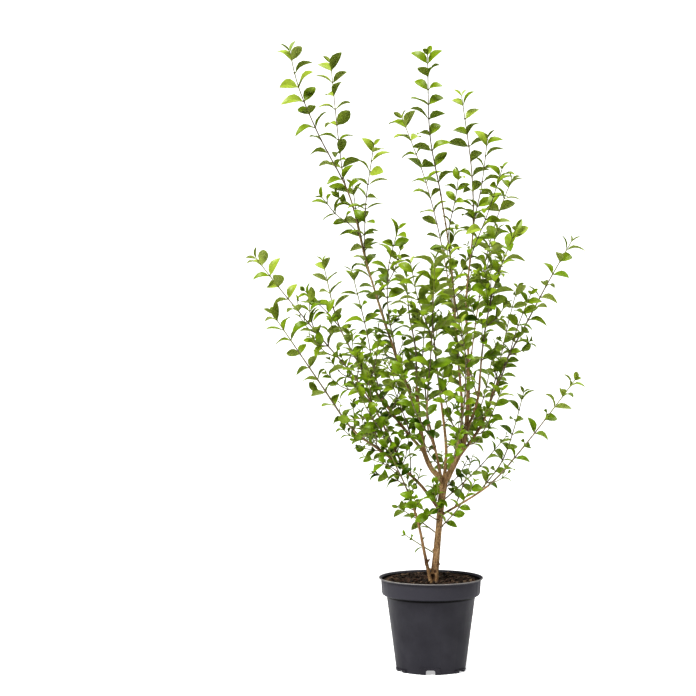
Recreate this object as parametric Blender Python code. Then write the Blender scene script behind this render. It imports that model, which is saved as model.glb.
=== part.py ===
# Privet shrub in its black nursery pot. Metres, Z up, origin at the middle of the pot's flat underside.
# The pot and its soil are turned shapes. The trunk and boughs are tapering limbs, each with its own sizes.
# Each mass of foliage grows from one stem by a seeded rule and keeps to its own space.
import math
import random

import bmesh
import bpy
import numpy as np
from mathutils import Matrix, Vector

for old in list(bpy.data.objects):
    bpy.data.objects.remove(old, do_unlink=True)

# Pot: a five-litre nursery pot
POT_HEIGHT = 0.201
POT_SIDES = 36
POT_WALL = 0.0018
POT_FLOOR = 0.0035
FOOT_RADIUS = 0.0750
BODY_TOP_RADIUS = 0.0945
BODY_TOP_HEIGHT = 0.158
BAND_FOOT_RADIUS = 0.1055
BAND_FOOT_HEIGHT = 0.1665
BAND_TOP_RADIUS = 0.1075
LIP_RADIUS = 0.1125
LIP_HEIGHT = 0.0030
DRAIN_COUNT = 6
DRAIN_WIDTH = 0.020
DRAIN_HEIGHT = 0.010
DRAIN_DEPTH = 0.010
BOSS_WIDTH = 0.011
BOSS_PROUD = 0.0016

# Soil
SOIL_HEIGHT = 0.191
SOIL_EDGE_DROP = 0.003
GAP = 0.0003
FIT = 0.0005

# Trunk, from the flat cut at the soil to the fork
TRUNK_FOOT = (0.007, 0.0, SOIL_HEIGHT + GAP)
TRUNK_WAY = [(0.0115, 0.001, 0.250), (0.0165, -0.001, 0.305), (0.0215, 0.001, 0.362), (0.0290, 0.0, 0.417)]
TRUNK_RADII = (0.0100, 0.0078, 0.0068, 0.0066, 0.0068, 0.0073, 0.0078)
TRUNK_SIDES = 10
ROOT_LOBES = 4
ROOT_FLARE = 0.22

# Boughs: the limb each leaves, how far along it, a step off its middle, the way it goes, first and last radius
BOUGHS = {
    "second_stem": {"foot": (-0.0080, -0.0160, SOIL_HEIGHT + GAP),
                    "way": [(-0.0160, -0.0220, 0.262), (-0.0300, -0.0270, 0.328), (-0.0520, -0.0330, 0.392)],
                    "radii": (0.0036, 0.0020)},
    "left_bough": {"from": "trunk", "share": 0.975, "off": (-0.0042, -0.0010, 0.0),
                   "way": [(-0.010, 0.000, 0.455), (-0.025, 0.010, 0.540), (-0.031, 0.030, 0.610)],
                   "radii": (0.0040, 0.0024)},
    "left_outer_bough": {"from": "left_bough", "share": 0.34,
                         "way": [(-0.060, -0.006, 0.525), (-0.118, 0.012, 0.600)], "radii": (0.0031, 0.0023)},
    "top_left_bough": {"from": "left_bough", "share": 0.66,
                       "way": [(-0.066, 0.002, 0.655), (-0.100, 0.010, 0.750)], "radii": (0.0029, 0.0023)},
    "centre_bough": {"from": "trunk", "share": 0.985, "off": (0.0, 0.0044, 0.0),
                     "way": [(0.034, 0.034, 0.480), (0.024, 0.072, 0.580)], "radii": (0.0026, 0.0020)},
    "right_bough": {"from": "trunk", "share": 0.985, "off": (0.0040, -0.0012, 0.0),
                    "way": [(0.070, 0.000, 0.490), (0.079, 0.004, 0.570), (0.081, 0.011, 0.670)],
                    "radii": (0.0039, 0.0025)},
    "centre_top_bough": {"from": "right_bough", "share": 0.25,
                         "way": [(0.068, 0.032, 0.570), (0.062, 0.050, 0.650)], "radii": (0.0028, 0.0022)},
    "right_upper_bough": {"from": "right_bough", "share": 0.38,
                          "way": [(0.098, -0.032, 0.585), (0.102, -0.056, 0.640)], "radii": (0.0027, 0.0022)},
    "right_outer_bough": {"from": "right_bough", "share": 0.17,
                          "way": [(0.108, -0.002, 0.530), (0.135, 0.004, 0.602)], "radii": (0.0029, 0.0023)},
    "low_left_bough": {"from": "trunk", "share": 0.68,
                       "way": [(-0.025, -0.020, 0.405), (-0.075, -0.035, 0.452), (-0.125, -0.042, 0.490)],
                       "radii": (0.0030, 0.0022)},
    "low_left_fork": {"from": "low_left_bough", "share": 0.58,
                      "way": [(-0.088, -0.056, 0.500), (-0.110, -0.074, 0.548)], "radii": (0.0024, 0.0020)},
    "low_right_bough": {"from": "trunk", "share": 0.63,
                        "way": [(0.085, -0.024, 0.376), (0.122, -0.034, 0.403)], "radii": (0.0025, 0.0020)},
    "back_left_bough": {"from": "trunk", "share": 0.88,
                        "way": [(0.012, 0.058, 0.470), (-0.002, 0.105, 0.530)], "radii": (0.0027, 0.0021)},
    "back_right_bough": {"from": "trunk", "share": 0.82,
                         "way": [(0.052, 0.060, 0.452), (0.070, 0.108, 0.520)], "radii": (0.0027, 0.0021)},
    "front_left_bough": {"from": "trunk", "share": 0.91,
                         "way": [(0.009, -0.050, 0.474), (-0.010, -0.095, 0.526)], "radii": (0.0026, 0.0020)},
    "front_right_bough": {"from": "trunk", "share": 0.85,
                          "way": [(0.048, -0.055, 0.468), (0.056, -0.105, 0.522)], "radii": (0.0026, 0.0020)},
}
BOUGH_SIDES = 5
BOUGH_RINGS = 7

# Foliage: the limb each mass leaves, how far along it, the way of its leader, and any arms off the leader
FOLIAGE = {
    "leaves_top_left": {
        "from": "top_left_bough", "share": 1.0,
        "way": [(-0.145, 0.024, 0.900), (-0.178, 0.028, 1.030), (-0.240, -0.008, 1.150), (-0.285, -0.030, 1.255),
                (-0.303, -0.040, 1.328)],
        "arms": [(0.50, [(-0.202, 0.078, 1.160), (-0.218, 0.128, 1.318)]),
                 (0.24, [(-0.142, -0.050, 1.010), (-0.128, -0.126, 1.115)]),
                 (0.33, [(-0.205, 0.000, 0.985), (-0.226, -0.020, 1.010)])]},
    "leaves_left_inner": {"from": "top_left_bough", "share": 0.66,
                          "way": [(-0.094, -0.035, 0.780), (-0.094, -0.060, 0.870), (-0.078, -0.108, 0.940)]},
    "leaves_left_back": {"from": "top_left_bough", "share": 0.40,
                         "way": [(-0.085, 0.060, 0.710), (-0.110, 0.105, 0.790), (-0.140, 0.160, 0.872)]},
    "leaves_far_left": {"from": "low_left_fork", "share": 1.0,
                        "way": [(-0.162, -0.094, 0.635), (-0.235, -0.115, 0.722), (-0.310, -0.130, 0.812), (-0.362, -0.130, 0.878)],
                        "arms": [(0.58, [(-0.262, -0.085, 0.795)])]},
    "leaves_low_far_left": {"from": "low_left_bough", "share": 1.0,
                            "way": [(-0.175, -0.046, 0.530), (-0.240, -0.050, 0.625), (-0.295, -0.042, 0.705), (-0.332, -0.026, 0.758)]},
    "leaves_left_outer": {"from": "left_outer_bough", "share": 1.0,
                          "way": [(-0.155, 0.036, 0.660), (-0.202, 0.072, 0.750), (-0.232, 0.110, 0.868)],
                          "arms": [(0.55, [(-0.262, 0.062, 0.808)])]},
    "leaves_left_mid": {"from": "left_outer_bough", "share": 0.80,
                        "way": [(-0.122, -0.016, 0.640), (-0.140, -0.020, 0.735), (-0.168, -0.035, 0.848)]},
    "leaves_left_behind": {"from": "left_outer_bough", "share": 0.50,
                           "way": [(-0.098, 0.060, 0.580), (-0.140, 0.160, 0.655)]},
    "leaves_left_near": {"from": "left_outer_bough", "share": 0.26,
                         "way": [(-0.062, -0.050, 0.560), (-0.092, -0.100, 0.640)]},
    "leaves_low_left_front": {"from": "low_left_fork", "share": 0.62,
                              "way": [(-0.122, -0.120, 0.545), (-0.165, -0.198, 0.625)]},
    "leaves_low_left_inner": {"from": "low_left_bough", "share": 0.50,
                              "way": [(-0.075, 0.010, 0.450), (-0.120, 0.050, 0.500)]},
    "leaves_centre_back": {"from": "left_bough", "share": 1.0,
                           "way": [(-0.032, 0.058, 0.690), (-0.045, 0.098, 0.765), (-0.050, 0.145, 0.835)]},
    "leaves_centre_front": {"from": "front_left_bough", "share": 1.0,
                            "way": [(-0.012, -0.128, 0.610), (-0.005, -0.155, 0.720), (0.000, -0.180, 0.872)]},
    "leaves_centre": {"from": "centre_bough", "share": 1.0,
                      "way": [(0.014, 0.080, 0.660), (0.006, 0.070, 0.750), (0.002, 0.035, 0.845)]},
    "leaves_top_centre": {"from": "centre_top_bough", "share": 1.0,
                          "way": [(0.055, 0.070, 0.760), (0.046, 0.066, 0.890), (0.028, 0.035, 1.030), (0.000, 0.004, 1.160),
                                  (-0.010, -0.028, 1.322)],
                          "arms": [(0.42, [(0.050, 0.010, 1.010), (0.056, -0.022, 1.060)])]},
    "leaves_top_centre_back": {"from": "centre_top_bough", "share": 0.80,
                               "way": [(0.052, 0.108, 0.770), (0.024, 0.135, 0.935), (-0.010, 0.168, 1.070), (-0.050, 0.192, 1.180)]},
    "leaves_top_right": {"from": "right_bough", "share": 1.0,
                         "way": [(0.076, 0.018, 0.800), (0.090, 0.012, 0.955), (0.088, 0.045, 1.085), (0.072, 0.072, 1.215)],
                         "arms": [(0.52, [(0.106, -0.025, 1.045), (0.114, -0.068, 1.130)]),
                                  (0.40, [(0.116, -0.070, 0.985), (0.138, -0.142, 1.065)])]},
    "leaves_right_back": {"from": "right_bough", "share": 0.86,
                          "way": [(0.100, 0.060, 0.760), (0.122, 0.095, 0.885), (0.150, 0.140, 0.980), (0.178, 0.168, 1.050)]},
    "leaves_right_front": {"from": "right_upper_bough", "share": 1.0,
                           "way": [(0.110, -0.085, 0.735), (0.130, -0.118, 0.840), (0.163, -0.165, 0.935)]},
    "leaves_right_inner": {"from": "right_upper_bough", "share": 0.64,
                           "way": [(0.072, -0.072, 0.680), (0.052, -0.088, 0.775), (0.032, -0.108, 0.890)]},
    "leaves_right_behind": {"from": "right_outer_bough", "share": 0.72,
                            "way": [(0.150, 0.055, 0.660), (0.170, 0.090, 0.740), (0.192, 0.140, 0.812)]},
    "leaves_right_ahead": {"from": "right_outer_bough", "share": 0.86,
                           "way": [(0.158, -0.032, 0.660), (0.178, -0.062, 0.735), (0.200, -0.105, 0.802)]},
    "leaves_right_near": {"from": "right_outer_bough", "share": 0.42,
                          "way": [(0.112, -0.050, 0.525), (0.140, -0.110, 0.600)]},
    "leaves_far_right": {"from": "right_outer_bough", "share": 1.0,
                         "way": [(0.164, 0.016, 0.672), (0.200, 0.020, 0.738), (0.250, 0.010, 0.835), (0.292, -0.006, 0.912)]},
    "leaves_low_far_right": {"from": "low_right_bough", "share": 1.0,
                             "way": [(0.155, -0.046, 0.438), (0.205, -0.055, 0.500), (0.258, -0.062, 0.570), (0.294, -0.060, 0.618)]},
    "leaves_low_right": {"from": "low_right_bough", "share": 0.78,
                         "way": [(0.150, 0.006, 0.445), (0.178, 0.030, 0.510), (0.200, 0.060, 0.582)]},
    "leaves_low_right_back": {"from": "trunk", "share": 0.76, "way": [(0.098, 0.052, 0.425), (0.160, 0.118, 0.485)]},
    "leaves_low_right_front": {"from": "trunk", "share": 0.50, "way": [(0.055, -0.055, 0.355), (0.082, -0.105, 0.408)]},
    "leaves_low_twig": {"from": "trunk", "share": 0.26, "way": [(-0.018, -0.002, 0.268), (-0.042, -0.008, 0.284)]},
    "leaves_low_left": {"from": "trunk", "share": 0.58, "way": [(-0.010, -0.055, 0.345), (-0.042, -0.115, 0.385)]},
    "leaves_low_left_back": {"from": "trunk", "share": 0.45, "way": [(-0.020, 0.050, 0.315), (-0.058, 0.092, 0.335)]},
    "leaves_second_stem": {"from": "second_stem", "share": 1.0, "way": [(-0.078, -0.075, 0.450), (-0.096, -0.120, 0.495)]},
    "leaves_front_left": {"from": "front_left_bough", "share": 0.80, "way": [(-0.038, -0.165, 0.570), (-0.068, -0.245, 0.655)]},
    "leaves_front_right": {"from": "front_right_bough", "share": 1.0,
                           "way": [(0.064, -0.150, 0.590), (0.064, -0.200, 0.675), (0.055, -0.240, 0.745)]},
    "leaves_front_low": {"from": "front_right_bough", "share": 0.60, "way": [(0.044, -0.140, 0.480), (0.050, -0.215, 0.530)]},
    "leaves_back_left": {"from": "back_left_bough", "share": 1.0,
                         "way": [(-0.008, 0.160, 0.600), (-0.012, 0.205, 0.670), (-0.005, 0.240, 0.745)]},
    "leaves_back_far_left": {"from": "back_left_bough", "share": 0.78, "way": [(-0.052, 0.160, 0.560), (-0.095, 0.232, 0.675)]},
    "leaves_back_right": {"from": "back_right_bough", "share": 1.0,
                          "way": [(0.072, 0.160, 0.605), (0.064, 0.208, 0.700), (0.056, 0.245, 0.805)]},
    "leaves_back_far_right": {"from": "back_right_bough", "share": 0.74, "way": [(0.115, 0.150, 0.560), (0.150, 0.240, 0.680)]},
    "leaves_inner_front": {"from": "right_bough", "share": 0.30, "way": [(0.036, -0.038, 0.560), (0.022, -0.060, 0.640)]},
    "leaves_inner_left": {"from": "left_bough", "share": 0.84, "way": [(-0.058, 0.052, 0.620), (-0.078, 0.095, 0.680)]},
}

# Growth rule
STEM_RADII = (0.0021, 0.0009)
TWIG_RADII = (0.0013, 0.0008)
INTERNODE = 0.076
BARE_LENGTH = 0.022
TWIG_LENGTH = 0.072
TWIG_EVERY = 3
LEAF_LENGTH = 0.058
LEAF_WIDTH = 0.42
LEAF_THICKNESS = 0.022
SPACE_MARGIN = 0.0035
LIMB_MARGIN = 0.0034
LEAF_SIZES = (1.0, 0.84, 0.70, 0.58)


def make_material(name, colour, roughness):
    material = bpy.data.materials.new(name)
    material.use_nodes = True
    shader = material.node_tree.nodes["Principled BSDF"]
    shader.inputs["Base Color"].default_value = (*colour, 1.0)
    shader.inputs["Roughness"].default_value = roughness
    shader.inputs["Metallic"].default_value = 0.0
    return material


plastic = make_material("charcoal plastic", (0.043, 0.042, 0.048), 0.55)
peat = make_material("bark peat", (0.036, 0.024, 0.016), 0.95)
bark = make_material("tan bark", (0.330, 0.227, 0.095), 0.85)
bough_bark = make_material("brown bark", (0.220, 0.140, 0.070), 0.85)
leaf_green = make_material("leaf green", (0.156, 0.230, 0.032), 0.45)


def add_object(name, mesh, material):
    obj = bpy.data.objects.new(name, mesh)
    mesh.materials.append(material)
    bpy.context.scene.collection.objects.link(obj)
    return obj


def mesh_of(name, vertices, faces):
    mesh = bpy.data.meshes.new(name)
    mesh.from_pydata([tuple(v) for v in vertices], [], faces)
    shape = bmesh.new()
    shape.from_mesh(mesh)
    bmesh.ops.recalc_face_normals(shape, faces=shape.faces[:])
    shape.to_mesh(mesh)
    shape.free()
    return mesh


def turned(name, profile, sides, material):
    # The profile runs from the axis round the section and back to the axis
    vertices, rings = [], []
    for radius, height in profile:
        if radius < 1e-6:
            rings.append([len(vertices)])
            vertices.append((0.0, 0.0, height))
            continue
        rings.append(list(range(len(vertices), len(vertices) + sides)))
        for k in range(sides):
            angle = 2 * math.pi * k / sides
            vertices.append((radius * math.sin(angle), -radius * math.cos(angle), height))
    faces = []
    for lower, upper in zip(rings, rings[1:]):
        for k in range(sides):
            j = (k + 1) % sides
            if len(lower) == 1:
                faces.append((lower[0], upper[j], upper[k]))
            elif len(upper) == 1:
                faces.append((lower[k], lower[j], upper[0]))
            else:
                faces.append((lower[k], lower[j], upper[j], upper[k]))
    mesh = mesh_of(name, vertices, faces)
    mesh.shade_smooth()
    mesh.set_sharp_from_angle(angle=math.radians(35))
    return add_object(name, mesh, material)


def run_boolean(target, operation, cutter=None, group=None, solver="EXACT"):
    modifier = target.modifiers.new("join", "BOOLEAN")
    modifier.operation = operation
    modifier.solver = solver
    if group is not None:
        modifier.operand_type = "COLLECTION"
        modifier.collection = group
    else:
        modifier.object = cutter
    bpy.context.view_layer.objects.active = target
    bpy.ops.object.modifier_apply(modifier=modifier.name)


def remove_objects(objects):
    for obj in list(objects):
        mesh = obj.data
        bpy.data.objects.remove(obj, do_unlink=True)
        if mesh.users == 0:
            bpy.data.meshes.remove(mesh)


# Lines through space
def even_steps(points, count):
    lengths = [0.0]
    for a, b in zip(points, points[1:]):
        lengths.append(lengths[-1] + (b - a).length)
    out, seg = [], 0
    for k in range(count):
        want = lengths[-1] * k / (count - 1)
        while seg < len(points) - 2 and lengths[seg + 1] < want:
            seg += 1
        span = max(lengths[seg + 1] - lengths[seg], 1e-9)
        out.append(points[seg].lerp(points[seg + 1], (want - lengths[seg]) / span))
    return out


def smooth_line(knots, count):
    knots = [Vector(p) for p in knots]
    ends = [knots[0] * 2 - knots[1]] + knots + [knots[-1] * 2 - knots[-2]]
    fine = []
    for a, b, c, d in zip(ends, ends[1:], ends[2:], ends[3:]):
        for step in range(12):
            t = step / 12
            fine.append(0.5 * (2 * b + (c - a) * t + (2 * a - 5 * b + 4 * c - d) * t * t
                               + (3 * b - a - 3 * c + d) * t ** 3))
    fine.append(knots[-1].copy())
    return even_steps(fine, count)


def line_length(points):
    return sum((b - a).length for a, b in zip(points, points[1:]))


def along(points, share):
    place = min(max(share, 0.0), 1.0) * (len(points) - 1)
    k = min(int(place), len(points) - 2)
    tangent = (points[k + 1] - points[k]).normalized()
    return points[k].lerp(points[k + 1], place - k), tangent


def frames_along(points):
    # A pair of cross directions at each point that don't twist along the line
    tangents = []
    for k in range(len(points)):
        a, b = points[max(k - 1, 0)], points[min(k + 1, len(points) - 1)]
        tangents.append((b - a).normalized())
    side = tangents[0].orthogonal().normalized()
    found = []
    for tangent in tangents:
        side = (side - tangent * side.dot(tangent)).normalized()
        found.append((side.copy(), tangent.cross(side)))
    return found


def tube_mesh(name, points, radii, sides, lobes=None):
    vertices, faces = [], []
    for k, (point, (side, up)) in enumerate(zip(points, frames_along(points))):
        for j in range(sides):
            angle = 2 * math.pi * j / sides
            radius = radii[k] * (1 + (lobes[k] * math.cos(ROOT_LOBES * angle + 0.6) if lobes else 0.0))
            vertices.append(point + (side * math.cos(angle) + up * math.sin(angle)) * radius)
    for k in range(len(points) - 1):
        for j in range(sides):
            i = (j + 1) % sides
            faces.append((k * sides + j, k * sides + i, (k + 1) * sides + i, (k + 1) * sides + j))
    faces.append(tuple(reversed(range(sides))))
    faces.append(tuple(range((len(points) - 1) * sides, len(points) * sides)))
    return mesh_of(name, vertices, faces)


def taper(first, last, count, power=1.0):
    return [first + (last - first) * (k / (count - 1)) ** power for k in range(count)]


# Pot, with its drainage corners and the rounded bosses beside them
def inner_radius(height):
    steps = ((POT_FLOOR, FOOT_RADIUS - POT_WALL), (BODY_TOP_HEIGHT, BODY_TOP_RADIUS - POT_WALL),
             (BAND_FOOT_HEIGHT, BAND_FOOT_RADIUS - POT_WALL), (POT_HEIGHT - LIP_HEIGHT, BAND_TOP_RADIUS - POT_WALL))
    return float(np.interp(height, [s[0] for s in steps], [s[1] for s in steps]))


pot_profile = [
    (0.0, 0.0), (FOOT_RADIUS - 0.0025, 0.0), (FOOT_RADIUS, 0.0022),
    (BODY_TOP_RADIUS, BODY_TOP_HEIGHT), (BAND_FOOT_RADIUS - 0.0018, BODY_TOP_HEIGHT + 0.0042),
    (BAND_FOOT_RADIUS, BAND_FOOT_HEIGHT),
    (BAND_TOP_RADIUS, POT_HEIGHT - LIP_HEIGHT), (LIP_RADIUS, POT_HEIGHT - LIP_HEIGHT * 0.55),
    (LIP_RADIUS, POT_HEIGHT), (LIP_RADIUS - 0.0022, POT_HEIGHT),
    (BAND_TOP_RADIUS - POT_WALL, POT_HEIGHT - LIP_HEIGHT),
    (BAND_FOOT_RADIUS - POT_WALL, BAND_FOOT_HEIGHT + 0.0006),
    (BODY_TOP_RADIUS - POT_WALL, BODY_TOP_HEIGHT + 0.0006),
    (FOOT_RADIUS - POT_WALL, POT_FLOOR), (0.0, POT_FLOOR),
]
pot = turned("pot", pot_profile, POT_SIDES, plastic)


def block(name, width, depth, height, bevel, segments):
    mesh = bpy.data.meshes.new(name)
    shape = bmesh.new()
    bmesh.ops.create_cube(shape, size=1.0)
    bmesh.ops.scale(shape, vec=(width, depth, height), verts=shape.verts[:])
    if bevel:
        upper = [e for e in shape.edges if all(v.co.z > 0 for v in e.verts) and abs(e.verts[0].co.y - e.verts[1].co.y) > 1e-6]
        bmesh.ops.bevel(shape, geom=upper, offset=bevel, segments=segments, affect="EDGES", profile=0.5)
    shape.to_mesh(mesh)
    shape.free()
    return mesh


def arch(name, width, height, radius, depth):
    # A low block that follows the wall round the foot, three facets wide
    vertices, faces, steps = [], [], 3
    for k in range(steps + 1):
        angle = width / radius * (k / steps - 0.5)
        drop = 0.0035 if k in (0, steps) else 0.0
        for r in (radius, radius + depth):
            for z in (-height / 2, height / 2 - drop):
                vertices.append((r * math.sin(angle), -r * math.cos(angle), z))
    for k in range(steps):
        a, b = 4 * k, 4 * k + 4
        for i, j in ((0, 1), (1, 3), (3, 2), (2, 0)):
            faces.append((a + i, a + j, b + j, b + i))
    faces += [(0, 2, 3, 1), (4 * steps + 1, 4 * steps + 3, 4 * steps + 2, 4 * steps)]
    return mesh_of(name, vertices, faces)


def round_the_foot(name, mesh, height, group):
    for k in range(DRAIN_COUNT):
        obj = bpy.data.objects.new(f"{name} {k}", mesh)
        obj.location = (0.0, 0.0, height)
        obj.rotation_euler = (0.0, 0.0, 2 * math.pi * k / DRAIN_COUNT)
        group.objects.link(obj)


bosses = bpy.data.collections.new("bosses")
drains = bpy.data.collections.new("drains")
bpy.context.scene.collection.children.link(bosses)
bpy.context.scene.collection.children.link(drains)
boss_height = DRAIN_HEIGHT + 0.0045
wall_slope = (BODY_TOP_RADIUS - FOOT_RADIUS) / BODY_TOP_HEIGHT
boss_shape = arch("boss shape", DRAIN_WIDTH + 2 * BOSS_WIDTH, boss_height, FOOT_RADIUS - 0.0009, BOSS_PROUD + 0.0009)
for vertex in boss_shape.vertices:
    vertex.co.y -= wall_slope * (vertex.co.z + boss_height / 2)
round_the_foot("boss", boss_shape, boss_height / 2 + 0.0004, bosses)
drain_shape = block("drain shape", DRAIN_WIDTH, 2 * DRAIN_DEPTH, 2 * DRAIN_HEIGHT, 0.004, 2)
drain_shape.transform(Matrix.Translation((0.0, -(FOOT_RADIUS + 0.002), 0.0)))
round_the_foot("drain", drain_shape, 0.0, drains)
run_boolean(pot, "UNION", group=bosses)
run_boolean(pot, "DIFFERENCE", group=drains)
remove_objects(bosses.objects)
remove_objects(drains.objects)
bpy.data.collections.remove(bosses)
bpy.data.collections.remove(drains)

# Soil, domed a little towards the stem
soil_profile = [(0.0, POT_FLOOR + FIT), (inner_radius(POT_FLOOR) - FIT, POT_FLOOR + FIT),
                (inner_radius(BODY_TOP_HEIGHT) - FIT, BODY_TOP_HEIGHT + 3 * FIT),
                (inner_radius(BAND_FOOT_HEIGHT) - FIT, BAND_FOOT_HEIGHT + 3 * FIT),
                (inner_radius(SOIL_HEIGHT) - FIT, SOIL_HEIGHT - SOIL_EDGE_DROP),
                (0.034, SOIL_HEIGHT), (0.0, SOIL_HEIGHT)]
soil = turned("soil", soil_profile, POT_SIDES, peat)

# Trunk with its root flare
limbs = {}
trunk_points = smooth_line([TRUNK_FOOT] + TRUNK_WAY, 9)
trunk_radii = [float(np.interp(k / 8, np.linspace(0, 1, len(TRUNK_RADII)), TRUNK_RADII)) for k in range(9)]
trunk_lobes = [ROOT_FLARE * max(0.0, 1 - k / 2) ** 2 for k in range(len(trunk_points))]
trunk_mesh = tube_mesh("trunk", trunk_points, trunk_radii, TRUNK_SIDES, trunk_lobes)
for vertex in trunk_mesh.vertices[:TRUNK_SIDES]:
    vertex.co.z = TRUNK_FOOT[2]
trunk_mesh.shade_smooth()
trunk_mesh.set_sharp_from_angle(angle=math.radians(50))
add_object("trunk", trunk_mesh, bark)
limbs["trunk"] = (trunk_points, trunk_radii, TRUNK_SIDES)


def cut_clear_of(obj, limb_name):
    # Takes from a child limb what lies in its parent, with the gap that touching pieces keep
    points, radii, sides = limbs[limb_name]
    spread = 0.00036
    end = (points[-1] - points[-2]).normalized()
    first = (points[0] - points[1]).normalized()
    line = [points[0] + first * spread] + points[1:-1] + [points[-1] + end * 0.00032]
    cutter = bpy.data.objects.new("cutter", tube_mesh("cutter", line, [r + spread for r in radii], sides))
    cutter.hide_render = True
    cutter.display_type = "WIRE"
    bpy.context.scene.collection.objects.link(cutter)
    run_boolean(obj, "DIFFERENCE", cutter=cutter)
    remove_objects([cutter])


def start_on(spec):
    # The child starts on its parent's middle line, or just inside the parent's end
    points, radii, _ = limbs[spec["from"]]
    share = min(spec["share"], 1 - 0.002 / line_length(points))
    point, tangent = along(points, share)
    radius = radii[min(round(share * (len(radii) - 1)), len(radii) - 1)]
    return point + Vector(spec.get("off", (0.0, 0.0, 0.0))), tangent, radius


for name, spec in BOUGHS.items():
    first_radius, last_radius = spec["radii"]
    if "foot" in spec:
        knots = [Vector(spec["foot"])]
    else:
        start, _, parent_radius = start_on(spec)
        knots = [start]
        first_radius = min(first_radius, 0.88 * parent_radius)
    line = smooth_line(knots + spec["way"], BOUGH_RINGS)
    radii = taper(first_radius, last_radius, BOUGH_RINGS, 1.1)
    if "foot" in spec:
        radii[0] *= 1.35
    limb_mesh = tube_mesh(name, line, radii, BOUGH_SIDES)
    if "foot" in spec:
        for vertex in limb_mesh.vertices[:BOUGH_SIDES]:
            vertex.co.z = spec["foot"][2]
    limb_mesh.shade_smooth()
    limb = add_object(name, limb_mesh, bough_bark)
    if "from" in spec:
        cut_clear_of(limb, spec["from"])
    limbs[name] = (line, radii, BOUGH_SIDES)

# Leaders and arms of every mass, laid out first, so that each mass knows its neighbours' space
leaders = {}
for name, spec in FOLIAGE.items():
    start, tangent, parent_radius = start_on(spec)
    way = [Vector(p) for p in spec["way"]]
    if spec["share"] == 1.0:
        way = [start + tangent * 0.012] + way
    reach = line_length([start] + way)
    leader = smooth_line([start] + way, max(4, round(reach / 0.040) + 1))
    lines = [leader]
    for share, arm_way in spec.get("arms", []):
        root, rise = along(leader, share)
        arm = [root, root + rise * 0.010] + [Vector(p) for p in arm_way]
        lines.append(smooth_line(arm, max(3, round(line_length(arm) / 0.045) + 1)))
    leaders[name] = (lines, min(STEM_RADII[0], 0.92 * parent_radius))


def segments_of(lines):
    pairs = [(a, b) for line in lines for a, b in zip(line, line[1:])]
    return np.array([tuple(a) for a, _ in pairs]), np.array([tuple(b) for _, b in pairs])


def distances(samples, starts, ends):
    # From each sample to each segment
    way = ends - starts
    share = np.einsum("pij,ij->pi", samples[:, None] - starts[None], way) / np.maximum((way ** 2).sum(1), 1e-12)
    near = starts[None] + np.clip(share, 0, 1)[..., None] * way[None]
    return np.linalg.norm(samples[:, None] - near, axis=2)


limb_starts, limb_ends = segments_of([line for line, _, _ in limbs.values()])
limb_widths = np.array([r for _, radii, _ in limbs.values() for r in radii[:-1]])
spaces = {name: segments_of(lines) for name, (lines, _) in leaders.items()}


def in_own_space(name, samples, others):
    if samples[:, 2].min() < POT_HEIGHT + 0.010:
        return False
    if (distances(samples, limb_starts, limb_ends) - limb_widths).min() < LIMB_MARGIN:
        return False
    own = distances(samples, *spaces[name]).min(axis=1)
    return bool((distances(samples, *others).min(axis=1) - own).min() > 2 * SPACE_MARGIN)


def leaf_vertices(root, heading, up, length):
    # Root, left, tip and right round a raised middle, so that the blade arches and its tip drops
    side = heading.cross(up).normalized()
    up = side.cross(heading).normalized()
    half = 0.5 * LEAF_WIDTH * length
    middle = root + heading * (0.46 * length) + up * (0.075 * length)
    tip = root + heading * (0.985 * length) - up * (0.060 * length)
    edge = middle + up * (0.030 * length)
    thick = 0.5 * LEAF_THICKNESS * length
    return [root, edge - side * half, tip, edge + side * half, middle + up * thick, middle - up * thick]


LEAF_FACES = [(0, 1, 4), (1, 2, 4), (2, 3, 4), (3, 0, 4), (1, 0, 5), (2, 1, 5), (3, 2, 5), (0, 3, 5)]
GRID = [(i / 5, j / 5) for i in range(6) for j in range(6 - i)]


def leaf_samples(vertices):
    root, left, tip, right, top, bottom = [np.array(tuple(v)) for v in vertices]
    middle = (top + bottom) / 2
    found = [a + (b - a) * i + (middle - a) * j
             for a, b in ((root, left), (left, tip), (tip, right), (right, root)) for i, j in GRID]
    found = np.array(found)
    return found[np.linalg.norm(found - root, axis=1) > 0.0035]


def twig_samples(points):
    return np.array([tuple(a.lerp(b, k / 5)) for a, b in zip(points, points[1:]) for k in range(1, 6)])


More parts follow.
